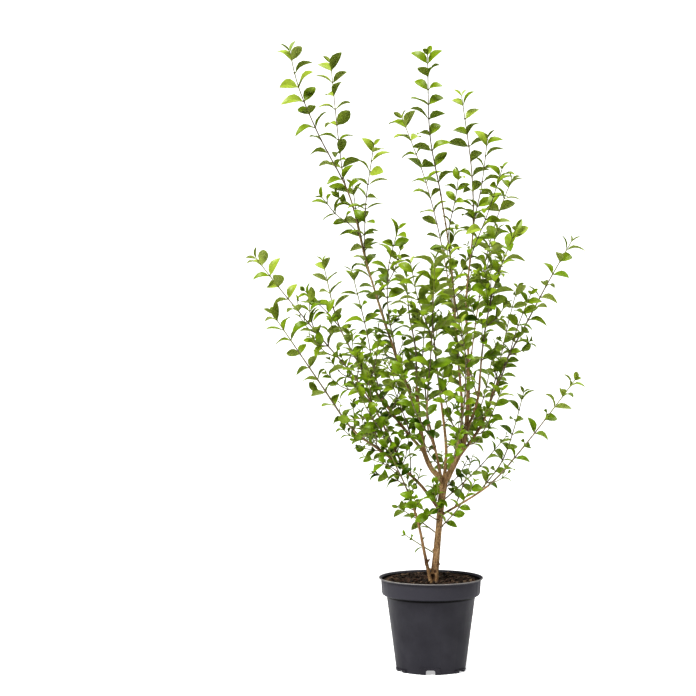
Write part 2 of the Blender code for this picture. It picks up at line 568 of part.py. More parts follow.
def grow(name):
    spec = FOLIAGE[name]
    dice = random.Random(name)
    lines, first_radius = leaders[name]
    others = [segments_of(found) for key, (found, _) in leaders.items() if key != name]
    others = np.concatenate([a for a, _ in others]), np.concatenate([b for _, b in others])
    up = Vector((0.0, 0.0, 1.0))
    pieces, centres = [], []
    counts = {"leaves": 0, "skipped": 0}

    def add_leaf(point, tangent, outward, rise, length):
        heading = (tangent * math.cos(rise) + outward * math.sin(rise)).normalized()
        heading = (heading + outward * 0.10 - up * 0.06).normalized()
        lift = tangent - heading * tangent.dot(heading)
        if lift.length < 0.05:
            lift = up
        lift = (lift.normalized() + up * 0.35).normalized()
        for size in LEAF_SIZES:
            vertices = leaf_vertices(point - heading * 0.0006, heading, lift, length * size)
            samples = leaf_samples(vertices)
            centre = samples.mean(axis=0)
            if any(np.linalg.norm(centre - c) < 0.011 for c in centres):
                continue
            if in_own_space(name, samples, others):
                centres.append(centre)
                pieces.append((vertices, LEAF_FACES))
                counts["leaves"] += 1
                return
        counts["skipped"] += 1

    def leaf_pair(points, share, turn, rise, length):
        point, tangent = along(points, share)
        side = tangent.orthogonal().normalized()
        for k in range(2):
            outward = Matrix.Rotation(turn + k * math.pi, 3, tangent) @ side
            add_leaf(point, tangent, outward, rise * dice.uniform(0.9, 1.12), length * dice.uniform(0.9, 1.08))

    def add_twig(points, share, turn, length):
        point, tangent = along(points, share)
        outward = Matrix.Rotation(turn, 3, tangent) @ tangent.orthogonal().normalized()
        heading = (tangent * 0.62 + outward * 0.78).normalized()
        for size in (1.0, 0.72, 0.5):
            reach = length * size
            bend = point + heading * reach * 0.5
            end = bend + (heading * 0.72 + up * 0.45 + tangent * 0.12).normalized() * reach * 0.5
            line = smooth_line([point, bend, end], 3 if reach < 0.05 else 4)
            samples = twig_samples(line)
            samples = samples[np.linalg.norm(samples - np.array(tuple(point)), axis=1) > 0.006]
            if in_own_space(name, samples, others):
                radii = taper(*TWIG_RADII, len(line))
                pieces.append(tube_parts(line, radii))
                twist = dice.uniform(0.0, math.pi)
                if reach > 0.042:
                    leaf_pair(line, 0.52, twist, 0.95, LEAF_LENGTH * 0.98)
                leaf_pair(line, 0.97, twist + math.pi / 2, 0.72, LEAF_LENGTH * 0.92)
                return
        counts["skipped"] += 1

    for index, line in enumerate(lines):
        length = line_length(line)
        bare = BARE_LENGTH if index == 0 else 0.016
        nodes = max(1, int((length - bare) / INTERNODE))
        turn = dice.uniform(0.0, math.pi)
        leaf_pair(line, 0.985, turn, 0.52, LEAF_LENGTH * 0.90)
        for k in range(nodes):
            share = 1 - (0.020 + k * INTERNODE) / length
            turn += math.pi / 2
            if share * length < bare * 0.6:
                break
            leaf_pair(line, share, turn, 0.80 + 0.10 * k, LEAF_LENGTH * min(1.06, 0.96 + 0.05 * k))
            if k % TWIG_EVERY == 1:
                grown = TWIG_LENGTH * min(1.25, 0.75 + 0.16 * k)
                side = dice.choice((0.0, math.pi))
                add_twig(line, share - 0.012 / length, turn + math.pi / 2 + side, grown * dice.uniform(0.8, 1.15))
    return pieces, counts


def tube_parts(points, radii, sides=3):
    vertices, faces = [], []
    for point, radius, (side, up) in zip(points, radii, frames_along(points)):
        for j in range(sides):
            angle = 2 * math.pi * j / sides
            vertices.append(point + (side * math.cos(angle) + up * math.sin(angle)) * radius)
    for k in range(len(points) - 1):
        for j in range(sides):
            i = (j + 1) % sides
            faces.append((k * sides + j, k * sides + i, (k + 1) * sides + i, (k + 1) * sides + j))
    faces.append(tuple(reversed(range(sides))))
    faces.append(tuple(range((len(points) - 1) * sides, len(points) * sides)))
    return vertices, faces


def keep_main_body(mesh):
    # Drops any loose scrap and fills any sealed hollow, which are separate shells of the mesh
    shape = bmesh.new()
    shape.from_mesh(mesh)
    left, shells = set(shape.verts), []
    while left:
        front = [left.pop()]
        shell = set(front)
        while front:
            vertex = front.pop()
            for edge in vertex.link_edges:
                other = edge.other_vert(vertex)
                if other in left:
                    left.discard(other)
                    shell.add(other)
                    front.append(other)
        shells.append(shell)
    shells.sort(key=len, reverse=True)
    for shell in shells[1:]:
        bmesh.ops.delete(shape, geom=list(shell), context="VERTS")
    bmesh.ops.triangulate(shape, faces=shape.faces[:])
    shape.to_mesh(mesh)
    shape.free()
    return len(shells)


total = 0
for name in FOLIAGE:
    lines, first_radius = leaders[name]
    stem_radii = taper(first_radius, STEM_RADII[1], len(lines[0]), 0.9)
    mass = add_object(name, mesh_of(name, *tube_parts(lines[0], stem_radii)), leaf_green)
    cut_clear_of(mass, FOLIAGE[name]["from"])
    group = bpy.data.collections.new("pieces")
    bpy.context.scene.collection.children.link(group)
    pieces, counts = grow(name)
    for arm in lines[1:]:
        pieces.append(tube_parts(arm, taper(STEM_RADII[0] * 0.8, STEM_RADII[1], len(arm))))
    for vertices, faces in pieces:
        group.objects.link(bpy.data.objects.new("piece", mesh_of("piece", vertices, faces)))
    run_boolean(mass, "UNION", group=group)
    remove_objects(group.objects)
    bpy.data.collections.remove(group)
    shells = keep_main_body(mass.data)
    total += counts["leaves"]
    print(name, counts, "shells", shells, "faces", len(mass.data.polygons))
print("leaves", total)
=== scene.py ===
import math
import random

import bmesh
import bpy
import numpy as np
from mathutils import Matrix, Vector, noise
from mathutils.bvhtree import BVHTree


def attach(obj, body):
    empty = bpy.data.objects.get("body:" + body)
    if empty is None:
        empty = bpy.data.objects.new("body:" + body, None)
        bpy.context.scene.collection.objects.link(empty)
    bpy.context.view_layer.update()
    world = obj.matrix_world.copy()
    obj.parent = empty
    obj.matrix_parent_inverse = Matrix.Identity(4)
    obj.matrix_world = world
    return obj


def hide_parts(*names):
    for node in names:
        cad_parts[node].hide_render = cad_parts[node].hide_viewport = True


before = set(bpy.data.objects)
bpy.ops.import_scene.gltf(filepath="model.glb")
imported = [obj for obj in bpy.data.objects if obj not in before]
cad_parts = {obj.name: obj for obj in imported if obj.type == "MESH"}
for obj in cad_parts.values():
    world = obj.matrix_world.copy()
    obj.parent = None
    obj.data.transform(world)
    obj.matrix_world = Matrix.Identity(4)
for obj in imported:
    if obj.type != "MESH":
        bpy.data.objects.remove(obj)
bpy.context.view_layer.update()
up = Vector((0.0, 0.0, 1.0))


def srgb(red, green, blue):
    # a colour as the eye reads it on a screen, made linear
    return tuple((c / 255 / 12.92) if c / 255 <= 0.04045 else ((c / 255 + 0.055) / 1.055) ** 2.4
                 for c in (red, green, blue))


# small helpers for working by hand
def deselectAll():
    if bpy.context.mode != "OBJECT":
        endEdit()
    bpy.ops.object.select_all(action="DESELECT")


def makeActive(obj):
    deselectAll()
    obj.select_set(True)
    bpy.context.view_layer.objects.active = obj


def startEdit(obj, action="DESELECT"):
    makeActive(obj)
    bpy.ops.object.mode_set(mode="EDIT")
    bpy.ops.mesh.select_mode(type="VERT")
    bpy.ops.mesh.select_all(action=action)


def endEdit():
    bpy.ops.object.mode_set(mode="OBJECT")


def pick(obj, wanted):
    # in edit mode: selects the vertices whose place passes the test
    bpy.ops.mesh.select_all(action="DESELECT")
    shape = bmesh.from_edit_mesh(obj.data)
    for vert in shape.verts:
        if wanted(vert.co):
            vert.select_set(True)
    shape.select_flush(True)
    bmesh.update_edit_mesh(obj.data)


def nameIt(name):
    obj = bpy.context.object
    obj.name = obj.data.name = name
    return obj


def addShape(operator, name, location=(0, 0, 0), **settings):
    deselectAll()
    operator(location=location, **settings)
    return nameIt(name)


def useModifier(obj, kind, **settings):
    makeActive(obj)
    modifier = obj.modifiers.new(kind.title(), kind)
    for key, value in settings.items():
        setattr(modifier, key, value)
    bpy.ops.object.modifier_apply(modifier=modifier.name)


def removeObject(obj):
    mesh = obj.data
    bpy.data.objects.remove(obj, do_unlink=True)
    if mesh.users == 0:
        bpy.data.meshes.remove(mesh)


def joinAll(objects, name):
    deselectAll()
    for obj in objects:
        obj.select_set(True)
    bpy.context.view_layer.objects.active = objects[0]
    bpy.ops.object.join()
    return nameIt(name)


def linkObject(name, data):
    obj = bpy.data.objects.new(name, data)
    bpy.context.scene.collection.objects.link(obj)
    return obj


def fromTable(steps, place):
    # steps: (place, value); straight between them
    return float(np.interp(place, *zip(*steps)))


def arrayOf(points):
    return np.array([tuple(p) for p in points])


def facesOf(obj):
    return [tuple(p.vertices) for p in obj.data.polygons]


def meshFromCopies(name, copies):
    # copies: (points as an array, faces); one joined mesh
    points, faces, count = [], [], 0
    for some, theirs in copies:
        points.append(some)
        faces += [tuple(i + count for i in face) for face in theirs]
        count += len(some)
    mesh = bpy.data.meshes.new(name)
    mesh.from_pydata(np.concatenate(points).tolist(), [], faces)
    mesh.update()
    return linkObject(name, mesh)


def outwardNormals(obj):
    startEdit(obj, "SELECT")
    bpy.ops.mesh.normals_make_consistent(inside=False)
    endEdit()


def smoothShade(obj, degrees):
    makeActive(obj)
    bpy.ops.object.shade_smooth_by_angle(angle=math.radians(degrees))


def dress(obj, slot, nodes, *materials):
    if materials:
        obj.data.materials.clear()
        for material in materials:
            obj.data.materials.append(material)
    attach(obj, "root")
    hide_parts(*nodes)


# material helpers
def newMaterial(name):
    mat = bpy.data.materials.new(name)
    mat.use_nodes = True
    return mat


def shaderOf(mat):
    return mat.node_tree.nodes["Principled BSDF"]


def wire(mat, output, shader, socket):
    mat.node_tree.links.new(output, shader.inputs[socket])


def addNode(mat, kind, inputs=None, **settings):
    node = mat.node_tree.nodes.new(kind)
    for key, value in settings.items():
        setattr(node, key, value)
    for key, value in (inputs or {}).items():
        if isinstance(value, bpy.types.NodeSocket):
            wire(mat, value, node, key)
        else:
            node.inputs[key].default_value = value
    return node


def objectPlace(mat, scale=(1.0, 1.0, 1.0)):
    place = addNode(mat, "ShaderNodeTexCoord").outputs["Object"]
    return addNode(mat, "ShaderNodeMapping", {"Vector": place, "Scale": scale}).outputs[0]


def noiseOf(mat, vector, scale, detail=3.0, roughness=0.55):
    inputs = {"Vector": vector, "Scale": scale, "Detail": detail, "Roughness": roughness}
    return addNode(mat, "ShaderNodeTexNoise", inputs).outputs["Fac"]


def rampOf(mat, value, low, high, start=0.0, end=1.0):
    # a value spread from one range to another, clamped
    inputs = {"Value": value, "From Min": low, "From Max": high, "To Min": start, "To Max": end}
    return addNode(mat, "ShaderNodeMapRange", inputs).outputs[0]


def mixColour(mat, factor, first, second):
    # sockets of the node's colour kind: 6 and 7 in, 2 out
    inputs = {0: factor}
    for index, colour in ((6, first), (7, second)):
        inputs[index] = (*colour, 1.0) if isinstance(colour, tuple) else colour
    return addNode(mat, "ShaderNodeMix", inputs, data_type="RGBA").outputs[2]


def bumpOf(mat, height, strength, distance, normal=None):
    inputs = {"Height": height, "Strength": strength, "Distance": distance}
    if normal is not None:
        inputs["Normal"] = normal
    return addNode(mat, "ShaderNodeBump", inputs).outputs[0]


def mathOf(mat, operation, first, second):
    return addNode(mat, "ShaderNodeMath", {0: first, 1: second}, operation=operation).outputs[0]


def timesOf(mat, first, second):
    return mathOf(mat, "MULTIPLY", first, second)


def finishLook(mat, colour, rough, relief, sheen=0.5):
    for output, socket in ((colour, "Base Color"), (rough, "Roughness"), (relief, "Normal")):
        wire(mat, output, shaderOf(mat), socket)
    shaderOf(mat).inputs["Specular IOR Level"].default_value = sheen
    return mat


# camera, floor and light
view = {
    "camera": (-0.18, -5.0, 0.9158), "target": (-0.18, 0.0, 0.6978), "frameWidth": 1.503, "sensor": 36.0,
    "floorRadius": 1.4, "floorColour": (0.90, 0.90, 0.90), "floorGlow": 0.38,
    "backdrop": (1.0, 1.0, 1.0), "roomLight": 0.10,
}
bigLamps = {
    # far soft lamps. name: from where, spread in degrees, strength
    "keyLamp": ((-0.70, -0.95, 1.25), 30.0, 3.1),
    "topLamp": ((0.30, 0.25, 1.0), 45.0, 0.75),
    "rightLamp": ((1.0, -0.70, 0.50), 40.0, 0.35),
    "backLamp": ((0.25, 1.0, 0.60), 45.0, 0.40),
}
stripLamps = {
    # sheens on the pot's sides. name: place, aimed at, width, height, watts
    "leftStrip": ((-1.5, -0.1, 0.5), (0.0, 0.0, 0.15), 0.25, 1.2, 0.9),
    "rightStrip": ((1.5, -0.1, 0.5), (0.0, 0.0, 0.15), 0.25, 1.2, 0.45),
}


def aim(obj, place, way):
    obj.location = place
    obj.rotation_euler = way.to_track_quat("-Z", "Y").to_euler()


def addLamp(name, kind, place, way, **settings):
    lampData = bpy.data.lights.new(name, kind)
    for key, value in settings.items():
        setattr(lampData, key, value)
    aim(linkObject(name, lampData), place, way)


cameraData = bpy.data.cameras.new("camera")
camera = linkObject("camera", cameraData)
cameraWay = Vector(view["target"]) - Vector(view["camera"])
aim(camera, view["camera"], cameraWay)
cameraData.sensor_width = view["sensor"]
cameraData.lens = view["sensor"] * cameraWay.length / view["frameWidth"]
cameraData.clip_end = 200.0
bpy.context.scene.camera = camera
for lampName, (way, spread, strength) in bigLamps.items():
    addLamp(lampName, "SUN", Vector(way) * 3, -Vector(way), angle=math.radians(spread), energy=strength)
for lampName, (place, aimed, width, height, watts) in stripLamps.items():
    addLamp(lampName, "AREA", place, Vector(aimed) - Vector(place),
            shape="RECTANGLE", size=width, size_y=height, energy=watts)

world = bpy.data.worlds.new("paleStudio")
bpy.context.scene.world = world
world.use_nodes = True
backdrop = world.node_tree.nodes["Background"]
backdrop.inputs["Color"].default_value = (*view["backdrop"], 1.0)
# seen white, while it lights the plant only softly
seen = addNode(world, "ShaderNodeLightPath").outputs["Is Camera Ray"]
glow = addNode(world, "ShaderNodeMapRange", {"To Min": view["roomLight"], "To Max": 1.0, "Value": seen})
wire(world, glow.outputs[0], backdrop, "Strength")
bpy.context.scene.view_settings.view_transform = "Standard"
bpy.context.scene.view_settings.look = "High Contrast"

floor = addShape(bpy.ops.mesh.primitive_circle_add, "floor", (0, 0, -0.0004),
                 vertices=96, radius=view["floorRadius"], fill_type="NGON")
floorMaterial = newMaterial("paleFloor")
floorLook = {
    "Base Color": (*view["floorColour"], 1.0), "Roughness": 0.9, "Specular IOR Level": 0.1,
    # a lit floor, so the shadows stay faint
    "Emission Color": (1.0, 1.0, 1.0, 1.0), "Emission Strength": view["floorGlow"],
}
for socketName, value in floorLook.items():
    shaderOf(floorMaterial).inputs[socketName].default_value = value
floorMaterial.cycles.emission_sampling = "NONE"
floor.data.materials.append(floorMaterial)
print("camera, floor and light ready")

# pot
potShape = {
    "sides": 144, "height": 0.201, "wall": 0.0018, "floor": 0.0035, "plate": 0.0022,
    "footRadius": 0.0752, "bodyTopRadius": 0.0962, "bodyTopHeight": 0.1602,
    "bandFootRadius": 0.1068, "bandFootHeight": 0.1687, "bandTopRadius": 0.1086,
    "lipRadius": 0.1130, "lipHeight": 0.0038, "plateRadius": 0.030,
    "drains": 6, "drainWidth": 0.020, "drainHeight": 0.0105, "drainDepth": 0.020, "drainRound": 0.0042,
    "bossWidth": 0.0115, "bossProud": 0.0018, "bossHeight": 0.0152, "recess": 0.0115, "drainTurn": -2.5,
    "sideDrain": 0.42,  # the drains beside the front and back ones are lower
}


def lathe(name, profile, sides):
    # a circle drawn out ring by ring along the profile, closed with a face at both ends
    obj = addShape(bpy.ops.mesh.primitive_circle_add, name,
                   vertices=sides, radius=profile[0][0], fill_type="NOTHING")
    startEdit(obj, "SELECT")
    bpy.ops.transform.translate(value=(0, 0, profile[0][1]))
    bpy.ops.mesh.edge_face_add()
    pick(obj, lambda co: True)
    for (radius, height), (nextRadius, nextHeight) in zip(profile, profile[1:]):
        bpy.ops.mesh.extrude_region_move(TRANSFORM_OT_translate={"value": (0, 0, nextHeight - height)})
        grow = nextRadius / radius
        bpy.ops.transform.resize(value=(grow, grow, 1), center_override=(0, 0, nextHeight))
    endEdit()
    outwardNormals(obj)
    return obj


def ringOfCopies(obj):
    # copies set evenly round the pot's axis, joined in one object; two of each three are lower
    p = potShape
    copies = [obj]
    for k in range(1, p["drains"]):
        copy = linkObject(obj.name, obj.data.copy())
        low = p["sideDrain"] if k % 3 else 1
        turn = Matrix.Rotation(2 * math.pi * k / p["drains"], 4, "Z")
        copy.data.transform(turn @ Matrix.Diagonal((1, 1, low, 1)))
        copies.append(copy)
    ring = joinAll(copies, obj.name)
    ring.data.transform(Matrix.Rotation(math.radians(p["drainTurn"]), 4, "Z"))
    return ring


def cutOff(obj, place, normal):
    # drops what lies on the normal's side of a plane and closes the cut
    startEdit(obj, "SELECT")
    bpy.ops.mesh.bisect(plane_co=place, plane_no=normal, clear_outer=True, use_fill=True)
    endEdit()


def innerRadius(height):
    p = potShape
    steps = ((p["floor"], p["footRadius"]), (p["bodyTopHeight"], p["bodyTopRadius"]),
             (p["bandFootHeight"], p["bandFootRadius"]), (p["height"] - p["lipHeight"], p["bandTopRadius"]))
    return fromTable(steps, height) - p["wall"]


def makePot():
    p = potShape
    foot, body, bodyHigh = p["footRadius"], p["bodyTopRadius"], p["bodyTopHeight"]
    band, bandHigh, bandTop = p["bandFootRadius"], p["bandFootHeight"], p["bandTopRadius"]
    top, wall, lip, lipHigh = p["height"], p["wall"], p["lipRadius"], p["lipHeight"]
    slope = (body - foot) / bodyHigh
    plate = p["recess"] + p["plate"]
    profile = [
        (p["plateRadius"], p["recess"]), (foot - 0.0075, p["recess"]), (foot - 0.0062, 0.0006),
        (foot - 0.0054, 0.0), (foot - 0.0016, 0.0), (foot, 0.0016),
        (body, bodyHigh), (body + 0.0007, bodyHigh + 0.0012),
        (band - 0.0046, bodyHigh + 0.0022), (band - 0.0014, bodyHigh + 0.0040), (band, bandHigh),
        (bandTop - 0.0002, top - lipHigh - 0.0012), (bandTop + 0.0008, top - lipHigh),
        (lip - 0.0008, top - lipHigh * 0.84), (lip, top - lipHigh * 0.62),
        (lip, top - 0.0007), (lip - 0.0006, top - 0.0001), (lip - 0.0020, top), (lip - 0.0030, top - 0.0005),
        (bandTop - wall, top - lipHigh), (band - wall, bandHigh + 0.0006), (body - wall, bodyHigh + 0.0006),
        (foot - wall + slope * plate, plate), (p["plateRadius"], plate),
    ]
    pot = lathe("pottedPot", profile, p["sides"])

    # the rounded bosses: a slice of cone proud of the wall, its edges rounded
    high = p["bossHeight"]
    boss = addShape(bpy.ops.mesh.primitive_cone_add, "boss", vertices=p["sides"], depth=high,
                    radius1=foot + p["bossProud"], radius2=foot + p["bossProud"] * 0.9 + slope * high)
    boss.data.transform(Matrix.Translation((0, 0, high / 2 + 0.0003)))
    half = p["drainWidth"] / 2 + p["bossWidth"]
    for place, normal in (((half, 0, 0), (1, 0, 0)), ((-half, 0, 0), (-1, 0, 0)),
                          ((0, -(foot - 0.0032), 0), (0, 1, 0))):
        cutOff(boss, place, normal)
    outwardNormals(boss)
    useModifier(boss, "BEVEL", width=0.0018, segments=4, limit_method="ANGLE", angle_limit=math.radians(40))
    boss = ringOfCopies(boss)
    useModifier(pot, "BOOLEAN", operation="UNION", solver="EXACT", object=boss)
    removeObject(boss)

    # the drains: a block with a rounded top, cut through the foot
    drain = addShape(bpy.ops.mesh.primitive_cube_add, "drain", size=1.0)
    drain.data.transform(Matrix.Diagonal((p["drainWidth"], p["drainDepth"], 2 * p["drainHeight"], 1)))
    startEdit(drain)
    pick(drain, lambda co: co.z > 0)
    shape = bmesh.from_edit_mesh(drain.data)
    for edge in shape.edges:
        one, other = (vert.co for vert in edge.verts)
        edge.select_set(one.z > 0 and other.z > 0 and abs(one.y - other.y) > 0.001)
    bmesh.update_edit_mesh(drain.data)
    bpy.ops.mesh.select_mode(type="EDGE")
    bpy.ops.mesh.bevel(offset=p["drainRound"], segments=5)
    endEdit()
    drain.data.transform(Matrix.Translation((0, -(foot + 0.001), 0)))
    drain = ringOfCopies(drain)
    useModifier(pot, "BOOLEAN", operation="DIFFERENCE", solver="EXACT", object=drain)
    removeObject(drain)
    useModifier(pot, "BEVEL", width=0.00035, segments=2, limit_method="ANGLE", angle_limit=math.radians(38),
                use_clamp_overlap=True)
    smoothShade(pot, 32)
    return pot


def plasticMaterial():
    mat = newMaterial("charcoalPlastic")
    place = objectPlace(mat)
    cloudy = noiseOf(mat, place, 16.0, 4.0)
    streaks = noiseOf(mat, objectPlace(mat, (90.0, 90.0, 5.0)), 1.0, 3.0)
    base = mixColour(mat, rampOf(mat, cloudy, 0.35, 0.70), srgb(50, 49, 54), srgb(60, 59, 64))
    # soil dust clings inside the mouth and under the lip
    x, y, height = addNode(mat, "ShaderNodeSeparateXYZ", {"Vector": place}).outputs
    specks = rampOf(mat, noiseOf(mat, place, 260.0, 5.0, 0.7), 0.56, 0.72)
    dust = timesOf(mat, timesOf(mat, rampOf(mat, height, 0.176, 0.200), specks), 0.35)
    # the lip's outer edge is painted pale as a painted highlight, partly rubbed wear, a painted shade line sits in the
    # corner under the band, and the band is painted lighter as painted light
    across = addNode(mat, "ShaderNodeCombineXYZ", {"X": x, "Y": y}).outputs[0]
    reach = addNode(mat, "ShaderNodeVectorMath", {0: across}, operation="LENGTH").outputs["Value"]
    # painted highlight: the pale outer edge of the lip, partly rubbed wear
    edge = timesOf(mat, rampOf(mat, reach, 0.1106, 0.1120), rampOf(mat, height, 0.1985, 0.1995))
    lipHighlightAndWear = timesOf(mat, edge, rampOf(mat, noiseOf(mat, place, 60.0, 4.0), 0.25, 0.55, 0.60, 1.0))
    # painted shade: a near black line in the corner under the band
    underBandShade = timesOf(mat, rampOf(mat, height, 0.1572, 0.1590), rampOf(mat, height, 0.1643, 0.1630))
    # painted light: the band above the ledge is painted lighter than the body below it
    base = mixColour(mat, rampOf(mat, height, 0.1630, 0.1650, 0.0, 0.8), base, srgb(66, 65, 71))
    # mixed in: the painted highlight on the lip, then the painted shade line under the band
    base = mixColour(mat, lipHighlightAndWear, base, srgb(132, 129, 127))
    base = mixColour(mat, underBandShade, base, srgb(10, 10, 11))
    base = mixColour(mat, dust, base, srgb(118, 104, 88))
    rough = mathOf(mat, "ADD", rampOf(mat, streaks, 0.3, 0.7, 0.38, 0.52), timesOf(mat, dust, 0.6))
    grain = bumpOf(mat, noiseOf(mat, place, 1500.0, 2.0), 0.20, 0.0002)
    return finishLook(mat, base, rough, bumpOf(mat, streaks, 0.10, 0.0006, grain), 0.13)


def stainedMaterial():
    # painted shade: the inside wall is made near black where little light reaches, mottled with soil stains
    mat = newMaterial("paintedShadeInside")
    insideMottle = noiseOf(mat, objectPlace(mat, (1.0, 1.0, 0.4)), 70.0, 5.0, 0.65)
    base = mixColour(mat, rampOf(mat, insideMottle, 0.35, 0.72), srgb(13, 12, 12), srgb(38, 33, 29))
    relief = bumpOf(mat, noiseOf(mat, objectPlace(mat), 500.0, 5.0), 0.3, 0.0004)
    return finishLook(mat, base, rampOf(mat, insideMottle, 0.3, 0.7, 0.50, 0.80), relief, 0.2)


pot = makePot()
dress(pot, "pot_plastic", ["pot"], plasticMaterial(), stainedMaterial())
# the inside wall, from just under the lip down, gets the painted shade material
for face in pot.data.polygons:  # the inside wall, from just under the lip down
    centre = face.center
    inward = -face.normal.dot(Vector((centre.x, centre.y, 0)).normalized())
    face.material_index = int(inward > 0.4 and 0.10 < centre.z < potShape["height"] - 0.0028
                              and math.hypot(centre.x, centre.y) > 0.07)
print("pot made:", len(pot.data.polygons), "faces")

# soil with its bark chips
soilShape = {
    "sides": 128, "height": 0.1928, "edgeDrop": 0.0022, "slope": 0.058, "fit": 0.0005, "rings": 44, "seed": 11,
    "doming": 1.5, "edgeFade": 0.06,  # how soon it is at its full height, how wide its smooth edge is
    # bumps pushed up through a texture: kind, size, height
    "bumps": {"clods": ("CLOUDS", 0.016, 0.0046), "crumbs": ("VORONOI", 0.0055, 0.0030)},
    # bark chips, thrown within a reach and kept inside the wall and under the lip: length, width and thickness
    "chipSizes": ((0.011, 0.0055, 0.0016), (0.015, 0.0026, 0.0014), (0.0065, 0.0052, 0.0030), (0.0045, 0.0036, 0.0022)),
    "chipChoice": (0, 0, 1, 1, 2, 3, 3), "chipReach": 0.098, "chipEdge": 0.1030, "chipTop": 0.2020,
    "chipTilts": (0.30, 0.24), "chipScale": (0.65, 1.25), "chipUpright": 0.4, "chipLift": 0.0006,
    # how many, then dark, light and speckle
    "chips": {
        "soilChipsDark": (420, srgb(30, 24, 19), srgb(62, 50, 41), srgb(100, 84, 70)),
        "soilChipsRed": (240, srgb(52, 37, 30), srgb(86, 66, 54), srgb(124, 104, 88)),
        "soilChipsTan": (120, srgb(78, 64, 52), srgb(116, 99, 82), srgb(152, 137, 120)),
    },
}


def makeSoil():
    s, p = soilShape, potShape
    top, drop, fit = s["height"], s["edgeDrop"], s["fit"]
    topRadius = innerRadius(top) - fit
    low = p["recess"] + p["plate"] + fit
    profile = [(p["plateRadius"], low), (innerRadius(low) - fit - 0.001, low)]
    profile += [(innerRadius(p[key]) - fit, p[key] + 3 * fit) for key in ("bodyTopHeight", "bandFootHeight")]
    profile.append((topRadius, top - drop))
    for k in range(1, s["rings"]):
        share = k / s["rings"]
        profile.append((topRadius * (1 - share), top - drop * (1 - min(1.0, share * s["doming"]))))
    profile.append((0.0008, top))
    soil = lathe("soilBed", profile, s["sides"])
    raised = soil.vertex_groups.new(name="raised")
    for vert in soil.data.vertices:
        if vert.co.z > top - drop - 0.0002:
            reach = math.hypot(vert.co.x, vert.co.y) / topRadius
            raised.add([vert.index], max(0.0, min(1.0, (1 - reach) / s["edgeFade"])), "REPLACE")
            vert.co.z += vert.co.y * s["slope"]  # it lies higher towards the back
    for textureName, (kind, size, strength) in s["bumps"].items():
        texture = bpy.data.textures.new(textureName, kind)
        texture.noise_scale = size
        useModifier(soil, "DISPLACE", texture=texture, texture_coords="LOCAL", direction="Z",
                    vertex_group="raised", strength=strength, mid_level=0.55)
    smoothShade(soil, 60)
    return soil


def chipTemplates():
    # four shapes of bark chip: a cube cut once and pushed about
    shapes = []
    for k, size in enumerate(soilShape["chipSizes"]):
        chip = addShape(bpy.ops.mesh.primitive_cube_add, "chip", size=1.0)
        startEdit(chip, "SELECT")
        bpy.ops.mesh.subdivide(number_cuts=1, smoothness=0.6)
        bpy.ops.transform.vertex_random(offset=0.16, seed=soilShape["seed"] + k)
        bpy.ops.transform.resize(value=size)
        endEdit()
        outwardNormals(chip)
        points = arrayOf(v.co for v in chip.data.vertices)
        shapes.append((points - points.mean(axis=0), facesOf(chip)))
        removeObject(chip)
    return shapes


def scatterChips(soil):
    s = soilShape
    dice = random.Random(s["seed"])
    shapes = chipTemplates()
    bpy.context.view_layer.update()
    surface = BVHTree.FromPolygons([v.co for v in soil.data.vertices], [p.vertices for p in soil.data.polygons])
    for name, (count, *colours) in s["chips"].items():
        copies = []
        for _ in range(count):
            reach, angle = s["chipReach"] * math.sqrt(dice.random()), dice.uniform(0, 2 * math.pi)
            above = Vector((reach * math.cos(angle), reach * math.sin(angle), 0.25))
            spot, normal, _, _ = surface.ray_cast(above, -up)
            points, faces = shapes[dice.choice(s["chipChoice"])]
            tiltX, tiltY = (Matrix.Rotation(dice.gauss(0, tilt), 4, axis) for tilt, axis in zip(s["chipTilts"], "XY"))
            turn = tiltX @ tiltY @ Matrix.Rotation(dice.uniform(0, 2 * math.pi), 4, "Z")
            lean = up.rotation_difference(normal.lerp(up, s["chipUpright"])).to_matrix().to_4x4()
            size = dice.uniform(*s["chipScale"])
            around = np.array(Matrix.Translation(spot + up * s["chipLift"]) @ lean @ turn @ Matrix.Scale(size, 4))
            moved = points @ around[:3, :3].T + around[:3, 3]
            if np.hypot(moved[:, 0], moved[:, 1]).max() < s["chipEdge"] and moved[:, 2].max() < s["chipTop"]:
                copies.append((moved, faces))
        chips = meshFromCopies(name, copies)
        outwardNormals(chips)
        smoothShade(chips, 30)
        dress(chips, "soil", ["soil"], soilMaterial(name, *colours, 300.0))
        print("chips set:", name, len(copies))


def soilMaterial(name, dark, light, speckle, grain):
    mat = newMaterial(name)
    place = objectPlace(mat)
    broad = rampOf(mat, noiseOf(mat, place, grain, 6.0, 0.65), 0.36, 0.66)
    fine = rampOf(mat, noiseOf(mat, place, grain * 5.5, 3.0, 0.7), 0.58, 0.72, 0.0, 0.55)
    base = mixColour(mat, fine, mixColour(mat, broad, dark, light), speckle)
    relief = bumpOf(mat, noiseOf(mat, place, grain * 3.0, 8.0, 0.7), 0.8, 0.0012)
    return finishLook(mat, base, rampOf(mat, broad, 0.0, 1.0, 0.78, 0.96), relief, 0.3)


soil = makeSoil()
dress(soil, "soil", ["soil"], soilMaterial("barkPeat", srgb(31, 25, 19), srgb(70, 57, 46), srgb(116, 99, 83), 120.0))
scatterChips(soil)
print("soil made:", len(soil.data.polygons), "faces")

